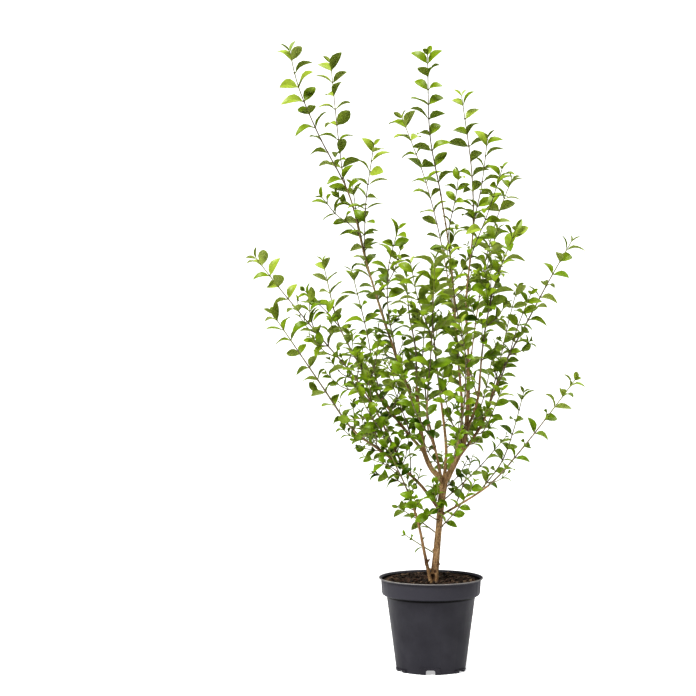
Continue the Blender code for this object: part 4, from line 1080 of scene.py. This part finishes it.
for massName, spec in foliage.items():
    start, tangent, parentRadius = startOn(spec)
    knots = [start] + metres(spec["way"])
    firstRadius = min(growth["stemRadii"][0], growth["ofParent"] * parentRadius)
    if spec["from"][1] == 1.0:  # it carries its limb on
        knots.insert(1, start + tangent * growth["runOn"])
        firstRadius = min(parentRadius * growth["ofTip"], growth["limbTipRadius"])
    leader = smoothLine(knots, max(4, round(lineLength(knots) / growth["leaderStep"]) + 1))
    lines = [leader]
    for share, armWay in spec.get("arms", []):
        root, rise = along(leader, share)
        arm = [root, root + rise * growth["armRise"]] + metres(armWay)
        lines.append(smoothLine(arm, max(3, round(lineLength(arm) / growth["armStep"]) + 1)))
    leaderLines[massName] = (lines, firstRadius)


def segmentsOf(lines):
    pairs = [(a, b) for line in lines for a, b in zip(line, line[1:])]
    return arrayOf(a for a, _ in pairs), arrayOf(b for _, b in pairs)


def distancesTo(samples, starts, ends):
    way = ends - starts
    share = np.einsum("pij,ij->pi", samples[:, None] - starts[None], way) / np.maximum((way ** 2).sum(1), 1e-12)
    near = starts[None] + np.clip(share, 0, 1)[..., None] * way[None]
    return np.linalg.norm(samples[:, None] - near, axis=2)


limbStarts, limbEnds = segmentsOf([line for line, _ in limbs.values()])
limbWidths = np.array([r for _, radii in limbs.values() for r in radii[:-1]])
massNames = list(foliage)
massSpaces = [segmentsOf(lines) for lines, _ in leaderLines.values()]
spaceStarts, spaceEnds = (np.concatenate(side) for side in zip(*massSpaces))
spaceOwners = np.concatenate([[k] * len(starts) for k, (starts, _) in enumerate(massSpaces)])


def ownSpace(massName, samples, slack):
    # nearer to its own mass's lines than to any other's, but for a little slack
    far = distancesTo(samples, spaceStarts, spaceEnds)
    mine = spaceOwners == massNames.index(massName)
    return bool((far[:, ~mine].min(axis=1) - far[:, mine].min(axis=1)).min() > -slack)


def nearestMass(point):
    return massNames[spaceOwners[int(distancesTo(arrayOf([point]), spaceStarts, spaceEnds).argmin())]]


def clearOfLimbs(samples, margin):
    if samples[:, 2].min() < potShape["height"] + 0.006:
        return False
    return bool((distancesTo(samples, limbStarts, limbEnds) - limbWidths).min() > margin)


def clearOfShoots(samples, margin):
    starts, ends = np.concatenate(shootStarts), np.concatenate(shootEnds)
    return bool(distancesTo(samples, starts, ends).min() > margin)


def keepShoot(massName, kind, points, radii, nodes):
    starts, ends = segmentsOf([points])
    shootStarts.append(starts)
    shootEnds.append(ends)
    shoots.append({"mass": massName, "kind": kind, "points": points, "radii": radii, "nodes": nodes})


def layNodes(points, kind, bare, dice, internode, scale=1.0, vigour=1.0):
    # walks down from the tip: the young leaves stand close and small, the grown ones a full step apart
    side, other = framesAlong(points)[-1]
    plane = math.atan2(other.x, side.x) + dice.gauss(0, growth["planeSpread"][kind])
    length, stretch = lineLength(points), dice.uniform(*growth["stretch"][kind])
    steps, sizes = growth["tipSteps"][kind], growth["tipSizes"][kind]
    nodes, fromTip, k = [], growth["firstPair"], 0
    while length - fromTip > bare:
        size = min(1.0, sizes[k] * vigour) if k < len(sizes) else dice.uniform(*growth["grownSizes"])
        turn = plane + growth["pairSwing"] * (-1) ** k + dice.gauss(0, growth["turnSpread"])
        nodes.append((length - fromTip, turn, size * scale, fromTip))
        step = steps[k] * stretch if k < len(steps) else internode * dice.uniform(*growth["grownSteps"])
        fromTip += min(step, internode * growth["longest"])
        k += 1
    return nodes


def sideAt(points, distance, turn):
    # the point, the way of the line there, and the way out from it at a turn
    share = distance / lineLength(points)
    point, tangent = along(points, share)
    frames = framesAlong(points)
    side = frames[min(round(share * (len(points) - 1)), len(points) - 1)][0]
    side = (side - tangent * side.dot(tangent)).normalized()
    return point, tangent, Matrix.Rotation(turn, 3, tangent) @ side


def leanOut(tangent, outward):
    onward, aside = growth["lean"]
    return (tangent * onward + outward * aside).normalized()


def growTwig(massName, dice, spot, length, kind="twig", limbRadius=0.0, room=growth["room"]):
    # leans out from its stem, then turns up, as the twigs of the solids do; tells whether it found room
    point, tangent, outward = spot
    heading = leanOut(tangent, outward)
    heading = (heading + Vector([dice.gauss(0, growth["wander"]) for _ in range(3)])).normalized()
    onward, upward, stemward = growth["turnUp"]
    nearFoot, further = growth["footRoom"]
    least, more, most = growth["twigWidth"]
    if heading.z < growth["lowestRise"]:
        return False
    for size in growth["lengthTries"]:
        reach = length * size
        if reach < growth["shortest"]:
            return False
        bend = point + heading * reach * 0.5
        end = bend + (heading * onward + up * upward + tangent * stemward).normalized() * reach * 0.5
        line = smoothLine([point, bend, end], max(4, round(reach / growth["twigStep"])))
        samples = arrayOf(line)
        samples = samples[np.linalg.norm(samples - np.array(point), axis=1) > nearFoot + limbRadius * further]
        if not (clearOfLimbs(samples, growth["clearance"]) and clearOfShoots(samples, growth["clearance"])
                and ownSpace(massName, samples[-2:], room)):
            continue
        first = growth["twigRadii"][0] * min(most, least + reach * more)
        nodes = layNodes(line, kind, growth["twigBare"], dice, growth["twigInternode"], growth["twigLeaf"][kind])
        keepShoot(massName, kind, line, taper(first, growth["twigRadii"][1], len(line)), nodes)
        if kind == "twig" and reach > growth["twigletFrom"]:
            for distance, turn, _, _ in nodes[growth["twigletNode"]:]:
                if dice.random() < growth["twigletChance"]:
                    aside = sideAt(line, distance, turn + dice.choice((0, math.pi)))
                    growTwig(massName, dice, aside, dice.uniform(*growth["twigletLengths"]), "twiglet")
        return True
    return False


for massName, (lines, firstRadius) in leaderLines.items():
    ownSizes = foliage[massName].get("sizes", ())
    for index, line in enumerate(lines):
        kind = "twig" if index and lineLength(line) < growth["shortArm"] else "leader"
        tip = line[-1] + (line[-1] - line[-2]).normalized() * fromTable(growth["tipReach"], line[-1].z)
        points = smoothLine(line + [tip], max(6, round(lineLength(line) / growth["fineStep"])))
        first = growth["stemRadii"][0] * growth["armWidth"] if index else firstRadius
        dice = random.Random(massName + str(index))
        size = ownSizes[index] if index < len(ownSizes) else 1.0
        bare = growth["armBare" if index else "bareLength"]
        internode = growth["internode" if kind == "leader" else "twigInternode"] * max(0.95, size)
        nodes = layNodes(points, kind, bare, dice, internode, size, dice.uniform(*growth["vigour"]))
        keepShoot(massName, kind, points, taper(first, growth["tipRadius"], len(points)), nodes)

leaders = list(shoots)
for shoot in leaders:
    points, spec = shoot["points"], foliage[shoot["mass"]]
    dice = random.Random("twigs of " + shoot["mass"] + str(len(points)))
    twigFrom = spec.get("twigFrom", growth["twigFrom"])
    for distance, turn, _, fromTip in shoot["nodes"]:
        if fromTip < twigFrom:
            continue
        ready = min(1.0, growth["readyFrom"] + (fromTip - twigFrom) / growth["readyLength"])
        ready *= fromTable(growth["twigsByHeight"], along(points, distance / lineLength(points))[0].z)
        ready *= spec.get("twigs", 1.0)
        first = dice.choice((0, math.pi))
        for k, chance in enumerate(growth["twigChances"]):
            if dice.random() > chance * ready:
                continue
            low, high = growth["twigLengths"]
            length = min(high, low + growth["lengthGain"] * (fromTip - twigFrom))
            length *= dice.uniform(*growth["lengthSpread"])
            for swing in growth["swings"]:
                spot = sideAt(points, distance, turn + first + k * math.pi + swing)
                if growTwig(shoot["mass"], dice, spot, length):
                    break

# small twigs straight from the limbs, each counted with the mass whose lines are nearest
for limbName, (line, radii) in limbs.items():
    length = lineLength(line)
    dice = random.Random("twigs on " + limbName)
    chance, step = growth["limbTwigs"].get(limbName, (growth["limbTwigChance"], growth["limbTwigStep"]))
    place, turn, spread = growth["limbTwigFirst"], dice.uniform(0, math.pi), growth["limbTwigTurn"]
    onward, upward = growth["limbTwigReach"]
    while place < length:
        here = place
        turn += math.pi / 2 + dice.uniform(-spread, spread)
        place += step * dice.uniform(*growth["limbTwigSteps"])
        reach = dice.uniform(*growth["limbTwigLengths"])
        if along(line, here / length)[0].z < growth["limbTwigsFrom"] or dice.random() > chance:
            continue
        for swing in growth["limbSwings"]:
            spot = point, tangent, outward = sideAt(line, here, turn + swing)
            end = point + leanOut(tangent, outward) * reach * onward + up * reach * upward
            if growTwig(nearestMass(end), dice, spot, reach, "twig", radiusAt(radii, here / length),
                        growth["limbRoom"]):
                break


def growSpur(massName, dice, point, tangent, outward):
    # a finger's breadth of stem, its tiny leaves close together
    length = dice.uniform(*growth["spurLengths"])
    onward, aside, upward = growth["spurLean"]
    heading = (tangent * onward + outward * aside + up * upward).normalized()
    bent = heading + up * growth["spurTurnUp"]
    line = smoothLine([point, point + heading * length * 0.5, point + bent * length], 4)
    samples = arrayOf(line[2:])
    if clearOfLimbs(samples, growth["spurFromLimbs"]) and clearOfShoots(samples, growth["spurFromShoots"]):
        size = growth["spurLeaf"] * dice.uniform(*growth["spurSizes"])
        nodes = layNodes(line, "twiglet", growth["spurBare"], dice, growth["spurInternode"], size,
                         growth["spurVigour"])
        keepShoot(massName, "twiglet", line, taper(*growth["spurRadii"], len(line)), nodes)


spursBefore = len(shoots)
woods = [(name, None, line, radii) for name, (line, radii) in limbs.items()]
woods += [(s["mass"] + str(len(s["points"])), s["mass"], s["points"], s["radii"]) for s in leaders]
lowest, highest = growth["spurHeights"]
for woodName, owner, line, radii in woods:
    length = lineLength(line)
    dice = random.Random("spurs on " + woodName)
    place, turn = growth["spurFirst"], dice.uniform(0, math.pi)
    while place < length - (growth["spurFree"] if owner else 0.0):
        point, tangent, outward = sideAt(line, place, turn)
        radius = radiusAt(radii, place / length)
        place += growth["spurStep"] * dice.uniform(*growth["spurSteps"])
        turn += dice.uniform(*growth["spurTurns"])
        if not lowest < point.z < highest or dice.random() > growth["spurChance"]:
            continue
        growSpur(owner or nearestMass(point + outward * 0.01), dice, point + outward * radius * 0.5, tangent, outward)
print("spurs laid out:", len(shoots) - spursBefore)
print("shoots laid out:", len(leaders), "leaders and", len(shoots) - len(leaders), "twigs")

# shoots as thin stems, swollen a little at each pair of leaves
shootShape = {
    "sides": {"leader": 7, "twig": 6, "twiglet": 5}, "nodeSwell": 0.30, "nodeLength": 0.0022, "nodeFrom": 0.006,
    "ringStep": 0.007, "ringsAtNode": 0.0025, "leastStep": 0.0012, "footSwell": 0.35, "footLength": 0.004,
    "tipBud": 3.0,  # its length in radii of the tip
    # how far from the tip the stem is green, then tan, then brown
    "cuts": {"leader": (0.085, 0.30), "twig": (0.040, 9.0), "twiglet": (9.0, 9.0)},
    "colours": {"shootsGreen": (srgb(120, 126, 62), srgb(142, 142, 84)),
                "shootsTan": (srgb(104, 93, 74), srgb(146, 134, 108)),
                "shootsBrown": (srgb(128, 106, 76), srgb(172, 148, 110))},
}


def stemRings(shoot):
    s, points = shootShape, shoot["points"]
    length = lineLength(points)
    nodes = [distance for distance, _, _, fromTip in shoot["nodes"] if fromTip > s["nodeFrom"]]
    places = set(np.linspace(0, length, max(4, round(length / s["ringStep"]))).tolist())
    for distance in nodes:
        places |= {distance - s["ringsAtNode"], distance, distance + s["ringsAtNode"]}
    kept = []
    for place in sorted(p for p in places if 0 <= p <= length):
        if not kept or place - kept[-1] > s["leastStep"]:
            kept.append(place)
    found = []
    for place in kept:
        point, _ = along(points, place / length)
        swell = max([math.exp(-((place - node) / s["nodeLength"]) ** 2) for node in nodes] or [0.0])
        radius = radiusAt(shoot["radii"], place / length) * (1 + s["nodeSwell"] * swell)
        if shoot["kind"] != "leader":
            radius *= 1 + s["footSwell"] * math.exp(-place / s["footLength"])
        found.append((place, point, radius))
    return found, length


def stemMesh(rings, sides, pointed):
    _, line, radii = zip(*rings)
    points, faces = [], []
    for point, radius, (side, other) in zip(line, radii, framesAlong(line)):
        for j in range(sides):
            angle = 2 * math.pi * j / sides
            points.append(point + (side * math.cos(angle) + other * math.sin(angle)) * radius)
    for k in range(len(line) - 1):
        for j in range(sides):
            i = (j + 1) % sides
            faces.append((k * sides + j, k * sides + i, (k + 1) * sides + i, (k + 1) * sides + j))
    faces.append(tuple(reversed(range(sides))))
    last = (len(line) - 1) * sides
    if pointed:  # the bud at the tip
        points.append(line[-1] + (line[-1] - line[-2]).normalized() * radii[-1] * shootShape["tipBud"])
        faces += [(last + j, last + (j + 1) % sides, len(points) - 1) for j in range(sides)]
    else:
        faces.append(tuple(range(last, last + sides)))
    return arrayOf(points), faces


def shootMaterial(name, first, second):
    mat = newMaterial(name)
    place = objectPlace(mat)
    mottle = noiseOf(mat, place, 180.0, 4.0, 0.6)
    base = mixColour(mat, rampOf(mat, mottle, 0.35, 0.65), first, second)
    specks = rampOf(mat, noiseOf(mat, place, 1300.0, 2.0), 0.62, 0.74, 0.0, 0.40)
    base = mixColour(mat, specks, base, srgb(206, 190, 154))
    relief = bumpOf(mat, noiseOf(mat, place, 1100.0, 4.0), 0.35, 0.0003)
    return finishLook(mat, base, rampOf(mat, mottle, 0.3, 0.7, 0.50, 0.70), relief)


stemBatches = {name: [] for name in shootShape["colours"]}
stemOwners = {name: set() for name in stemBatches}
for shoot in shoots:
    rings, length = stemRings(shoot)
    green, tan = shootShape["cuts"][shoot["kind"]]
    spans = {name: [] for name in stemBatches}
    for ring in rings:
        fromTip = length - ring[0]
        spans["shootsGreen" if fromTip < green else "shootsTan" if fromTip < tan else "shootsBrown"].append(ring)
    older = []
    for name in ("shootsBrown", "shootsTan", "shootsGreen"):
        run = older + spans[name]
        if not spans[name]:
            continue
        if len(run) > 1:
            sides = shootShape["sides"][shoot["kind"]]
            stemBatches[name].append(stemMesh(run, sides, name == "shootsGreen"))
            stemOwners[name].add(shoot["mass"])
        older = run[-1:]
for stemName, copies in stemBatches.items():
    stems = meshFromCopies(stemName, copies)
    stems.data.shade_smooth()
    dress(stems, "bough_bark", sorted(stemOwners[stemName]), shootMaterial(stemName, *shootShape["colours"][stemName]))
    print("stems made:", stemName, len(stems.data.polygons), "faces")

# small dark buds, one over each leaf's stalk
budShape = {"fromTip": 0.030, "length": 0.0038, "wide": 0.0021, "stand": 0.80, "above": 0.0015, "lean": 0.55,
            "colours": (srgb(52, 38, 30), srgb(88, 66, 50))}


def makeBuds():
    b = budShape
    bud = addShape(bpy.ops.mesh.primitive_uv_sphere_add, "bud", segments=5, ring_count=4, radius=0.5)
    startEdit(bud)
    pick(bud, lambda co: co.z > 0.3)
    bpy.ops.transform.translate(value=(0, 0, 0.15))
    endEdit()
    points, faces = arrayOf(v.co for v in bud.data.vertices), facesOf(bud)
    removeObject(bud)
    copies, owners = [], set()
    for shoot in shoots:
        for distance, turn, _, fromTip in shoot["nodes"]:
            if fromTip < b["fromTip"]:
                continue
            radius = radiusAt(shoot["radii"], distance / lineLength(shoot["points"]))
            for k in range(2):
                point, tangent, outward = sideAt(shoot["points"], distance + b["above"], turn + k * math.pi)
                way = (tangent + outward * b["lean"]).normalized()
                side = way.orthogonal().normalized()
                turned = arrayOf((side * b["wide"], way.cross(side) * b["wide"], way * b["length"]))
                copies.append((points @ turned + np.array(tuple(point + outward * radius * b["stand"])), faces))
                owners.add(shoot["mass"])
    return meshFromCopies("darkBuds", copies), sorted(owners)


buds, budOwners = makeBuds()
smoothShade(buds, 60)
dress(buds, "bough_bark", budOwners, shootMaterial("budScales", *budShape["colours"]))
print("buds made:", len(buds.data.polygons), "faces")

# leaves: five shapes modelled by hand, set in pairs along every shoot
leafShape = {
    "rows": 6, "columns": 4, "thickness": 0.011,
    # rows from the stalk to the tip: how far along, half the width
    "outline": ((0.0, 0.013), (0.070, 0.026), (0.220, 0.160), (0.440, 0.232), (0.670, 0.214), (0.870, 0.118),
                (1.0, 0.0)),
    # each kind: how much it folds along the rib, how its sides curl, how wide, how it bends aside, how its rows rise
    "kinds": {
        "open": (0.50, 0.10, 0.94, 0.010, (0, 0.014, 0.052, 0.088, 0.074, 0.018, -0.052)),
        "arched": (0.62, 0.12, 0.90, -0.020, (0, 0.018, 0.068, 0.104, 0.064, -0.034, -0.130)),
        "drooped": (0.64, 0.16, 0.92, 0.025, (0, 0.020, 0.072, 0.088, 0.006, -0.130, -0.250)),
        "level": (0.38, 0.08, 1.02, -0.008, (0, 0.008, 0.032, 0.054, 0.048, 0.014, -0.030)),
        "young": (0.75, 0.14, 0.80, 0.006, (0, 0.008, 0.026, 0.032, 0.016, -0.020, -0.062)),
    },
    "grown": ("open", "arched", "arched", "drooped", "level", "open"),
    "stalk": 0.12,  # the share of a leaf that may touch its stem
}


def modelLeaf(kindName):
    # a grid shaped row by row, folded along its rib, its tip drawn to a point, then given its thickness
    s = leafShape
    rows, columns = s["rows"], s["columns"]
    fold, curl, breadth, aside, rise = s["kinds"][kindName]
    leaf = addShape(bpy.ops.mesh.primitive_grid_add, "leaf_" + kindName,
                    x_subdivisions=columns, y_subdivisions=rows, size=1.0)
    startEdit(leaf)
    for k, (place, half) in enumerate(s["outline"]):
        start = k / rows - 0.5
        pick(leaf, lambda co: abs(co.y - start) < 0.01 and co.z > -1)
        bpy.ops.transform.resize(value=(max(2 * half * breadth, 1e-4), 1, 1), center_override=(0, start, 0))
        bpy.ops.transform.translate(value=(0, 0, 10.0))  # set aside until every row is done
    for k, (place, half) in enumerate(s["outline"]):
        start = k / rows - 0.5
        middle, wide = aside * place * place, half * breadth
        pick(leaf, lambda co: abs(co.y - start) < 0.01 and co.z > 5)
        bpy.ops.transform.translate(value=(middle, place - start, rise[k] - 10.0))
        for column in range(columns // 2):
            share = 1 - 2 * column / columns
            pick(leaf, lambda co: abs(co.y - place) < 0.0005 and co.z < 5
                 and abs(abs(co.x - middle) - wide * share) < max(wide * 0.1, 1e-5))
            bpy.ops.transform.translate(value=(0, 0, wide * (fold * share - curl * share * share)))
    pick(leaf, lambda co: abs(co.y - 1.0) < 0.001)
    bpy.ops.mesh.merge(type="CENTER")
    endEdit()
    useModifier(leaf, "SOLIDIFY", thickness=s["thickness"], offset=-1.0, use_even_offset=False)
    smoothShade(leaf, 60)
    points, faces = arrayOf(v.co for v in leaf.data.vertices), facesOf(leaf)
    under = [1 if p.normal.z < -0.3 else 0 for p in leaf.data.polygons]
    removeObject(leaf)
    blade = points[:, 1] > s["stalk"]
    return points, faces, under, blade, [face for face in faces if all(blade[i] for i in face)]


leafTemplates = {name: modelLeaf(name) for name in leafShape["kinds"]}
print("leaf shapes:", {name: len(found[1]) for name, found in leafTemplates.items()})

leafTints = {
    # from the youngest to the oldest: upper side, underside
    "leavesLight": (srgb(162, 180, 72), srgb(162, 176, 88)),
    "leavesFresh": (srgb(132, 154, 36), srgb(141, 157, 64)),
    "leavesMid": (srgb(118, 144, 28), srgb(131, 152, 55)),
    "leavesDeep": (srgb(76, 106, 11), srgb(96, 120, 33)),
}
leafRule = {
    "length": 0.041, "spread": (0.86, 1.14), "rises": (0.55, 0.50), "riseSpread": (0.86, 1.16),
    # leaves low down and inside are smaller and broader: height, size or breadth
    "sizes": ((0.25, 0.60), (0.45, 0.71), (0.62, 0.81), (0.80, 0.93), (1.02, 0.94), (1.12, 0.99), (1.20, 1.09),
              (1.30, 1.02)),
    "breadths": ((0.30, 1.34), (0.60, 1.22), (0.95, 1.16)), "breadthSpread": (0.92, 1.12),
    # how far from the tip leaves are young, are grown, may be lost, and count as old; old ones stay by height
    "youngTo": 0.012, "grownFrom": 0.06, "lostFrom": 0.02, "lostChance": 0.05,
    "oldFrom": 0.28, "oldStay": ((0.42, 0.85), (0.56, 0.60), (0.80, 0.50), (0.95, 0.62)),
    "leaning": 0.85, "flatter": 0.5,  # on a leaning shoot the leaves turn flat
    # how it stands: bent outward and down, how far its face turns up, how much it rolls, how far off the stem's line
    "bend": (0.10, 0.06), "faceUp": 0.55, "roll": (0.10, 0.80), "offStem": 0.35,
    # tries at finding room: size, swing round the stem
    "tries": ((1.0, 0.0), (1.0, 0.35), (1.0, -0.35), (0.86, 0.0), (0.78, 0.5), (0.7, -0.5)),
    "cell": 0.05, "closest": 0.045, "fromLimbs": 0.0012, "fromStems": 0.0016,
}
tintRule = {
    # the shade counts up from 0 for leavesLight: where it starts, what age adds, what the inside and the low part add
    "start": 0.55, "age": 1.5, "ageLength": 0.35, "inward": 0.6, "crownRadius": 0.22, "low": 0.75, "lowSpan": 0.5,
    "twig": 0.5, "spread": (0.80, 0.60), "highUp": 1.0, "innerTop": 0.85, "innerHigh": 0.3,
    "spray": 0.45, "own": 0.55, "sprayFromTip": 0.12,
    # under this height no leaf is lighter than this, and darker still further down
    "shadedUnder": 0.75, "shaded": 1.0, "shadedMore": 1.15,
}
tintOrder = list(leafTints)
leafBatches = {name: [] for name in leafTints}
leafOwners = {name: set() for name in leafTints}
leafCells = {}
leafCounts = {"placed": 0, "skipped": 0}
allStarts, allEnds = np.concatenate(shootStarts), np.concatenate(shootEnds)
allMiddles = (allStarts + allEnds) / 2


def leafCell(point):
    return tuple(int(math.floor(c / leafRule["cell"])) for c in point)


def neighbours(point):
    x, y, z = leafCell(point)
    for i in (-1, 0, 1):
        for j in (-1, 0, 1):
            for k in (-1, 0, 1):
                yield from leafCells.get((x + i, y + j, z + k), ())


def setLeaf(massName, dice, spot, rise, length, kindName, tint, stemRadius, breadth):
    # tries a few sizes and swings until the blade is clear of limbs, stems and other leaves
    point, tangent, outward = spot
    heading = (tangent * math.cos(rise) + outward * math.sin(rise)).normalized()
    out, down = leafRule["bend"]
    heading = (heading + outward * out - up * down).normalized()
    lift = tangent - heading * tangent.dot(heading)
    if lift.length < 0.05:
        lift = up
    lift = (lift.normalized() + up * leafRule["faceUp"]).normalized()
    template, faces, under, blade, bladeFaces = leafTemplates[kindName]
    for size, swing in leafRule["tries"]:
        way = Matrix.Rotation(swing, 3, tangent) @ heading
        side = way.cross(lift).normalized()
        over = side.cross(way).normalized()
        roll = Matrix.Rotation(dice.choice((-1, 1)) * dice.uniform(*leafRule["roll"]), 3, way)
        turn = arrayOf(((roll @ side) * breadth, way, roll @ over)) * length * size
        placed = template @ turn + np.array(tuple(point + way * stemRadius * leafRule["offStem"]))
        samples = placed[blade]
        centre = samples.mean(axis=0)
        if not clearOfLimbs(samples, leafRule["fromLimbs"]):
            continue
        near = np.linalg.norm(allMiddles - centre, axis=1) < leafRule["cell"]
        if near.any() and distancesTo(samples, allStarts[near], allEnds[near]).min() < leafRule["fromStems"]:
            continue
        tree = BVHTree.FromPolygons(placed.tolist(), bladeFaces)
        if any(np.linalg.norm(centre - other) < leafRule["closest"] and tree.overlap(theirs)
               for other, theirs in neighbours(centre)):
            continue
        leafCells.setdefault(leafCell(centre), []).append((centre, tree))
        leafBatches[tint].append((placed, faces, under))
        leafOwners[tint].add(massName)
        leafCounts["placed"] += 1
        return
    leafCounts["skipped"] += 1


def leafShade(fromTip, kind, point, dice):
    # pale at the young tips, deeper down the shoot, low down and inside the crown
    t = tintRule
    inward = max(0.0, 1 - math.hypot(point.x, point.y) / t["crownRadius"])
    inward *= 1.0 if point.z < t["innerTop"] else t["innerHigh"]
    low = min(max(t["highUp"] - point.z, 0.0) / t["lowSpan"], 1.0)
    shade = t["start"] + min(fromTip, t["ageLength"]) / t["ageLength"] * t["age"] + inward * t["inward"]
    shade += low * t["low"]
    shade += dice.gauss(0, t["spread"][0 if point.z < t["highUp"] else 1])
    return shade if kind == "leader" else shade + t["twig"]


for shoot in shoots:
    massName, kind, points, radii = (shoot[key] for key in ("mass", "kind", "points", "radii"))
    dice = random.Random("leaves of " + massName + kind + str(round(points[-1].x * 1e5)))
    sprayShade = leafShade(tintRule["sprayFromTip"], kind, points[len(points) // 2], dice)
    for distance, turn, size, fromTip in shoot["nodes"]:
        point, tangent, _ = sideAt(points, distance, turn)
        stemRadius = radiusAt(radii, distance / lineLength(points))
        stays = foliage[massName].get("oldLeaves", 1.0) * fromTable(leafRule["oldStay"], point.z)
        for k in range(2):
            if fromTip > leafRule["oldFrom"] and dice.random() > stays:
                continue
            if fromTip > leafRule["lostFrom"] and dice.random() < leafRule["lostChance"]:
                continue
            _, _, outward = sideAt(points, distance, turn + k * math.pi)
            if tangent.z < leafRule["leaning"]:
                outward = Vector((outward.x, outward.y, outward.z * leafRule["flatter"]))
                outward = (outward - tangent * outward.dot(tangent)).normalized()
            first, more = leafRule["rises"]
            rise = (first + min(fromTip / leafRule["grownFrom"], 1.0) * more) * dice.uniform(*leafRule["riseSpread"])
            length = leafRule["length"] * size * fromTable(leafRule["sizes"], point.z)
            length *= dice.uniform(*leafRule["spread"])
            kindName = "young" if fromTip < leafRule["youngTo"] else dice.choice(leafShape["grown"])
            shade = tintRule["spray"] * sprayShade + tintRule["own"] * leafShade(fromTip, kind, point, dice)
            if point.z < tintRule["shadedUnder"]:
                low = min((tintRule["highUp"] - point.z) / tintRule["lowSpan"], 1.0)
                shade = max(shade, tintRule["shaded"] + tintRule["shadedMore"] * low)
            tint = tintOrder[max(0, min(len(tintOrder) - 1, int(shade)))]
            breadth = fromTable(leafRule["breadths"], point.z) * dice.uniform(*leafRule["breadthSpread"])
            setLeaf(massName, dice, (point, tangent, outward), rise, length, kindName, tint, stemRadius, breadth)
print("leaves placed:", leafCounts)


def leafMaterial(name, colour, gloss):
    mat = newMaterial(name)
    mottle = noiseOf(mat, objectPlace(mat), 130.0, 4.0, 0.6)
    darker, lighter = (tuple(min(1.0, c * amount) for c in colour) for amount in (0.88, 1.12))
    base = mixColour(mat, rampOf(mat, mottle, 0.32, 0.68), darker, lighter)
    rough = rampOf(mat, mottle, 0.3, 0.7, gloss - 0.03, gloss + 0.04)
    return finishLook(mat, base, rough, bumpOf(mat, mottle, 0.10, 0.0004), 0.35)


for tint, copies in leafBatches.items():
    leaves = meshFromCopies(tint, [(points, faces) for points, faces, _ in copies])
    underSides = np.concatenate([under for _, _, under in copies]).astype(np.int32)
    leaves.data.polygons.foreach_set("material_index", underSides)
    smoothShade(leaves, 45)
    upper, lower = leafTints[tint]
    leaves.data.materials.append(leafMaterial(tint, upper, 0.38))
    leaves.data.materials.append(leafMaterial(tint + "Under", lower, 0.56))
    dress(leaves, "foliage", sorted(leafOwners[tint]))
    print("leaves made:", tint, len(copies), "leaves,", len(leaves.data.polygons), "faces")
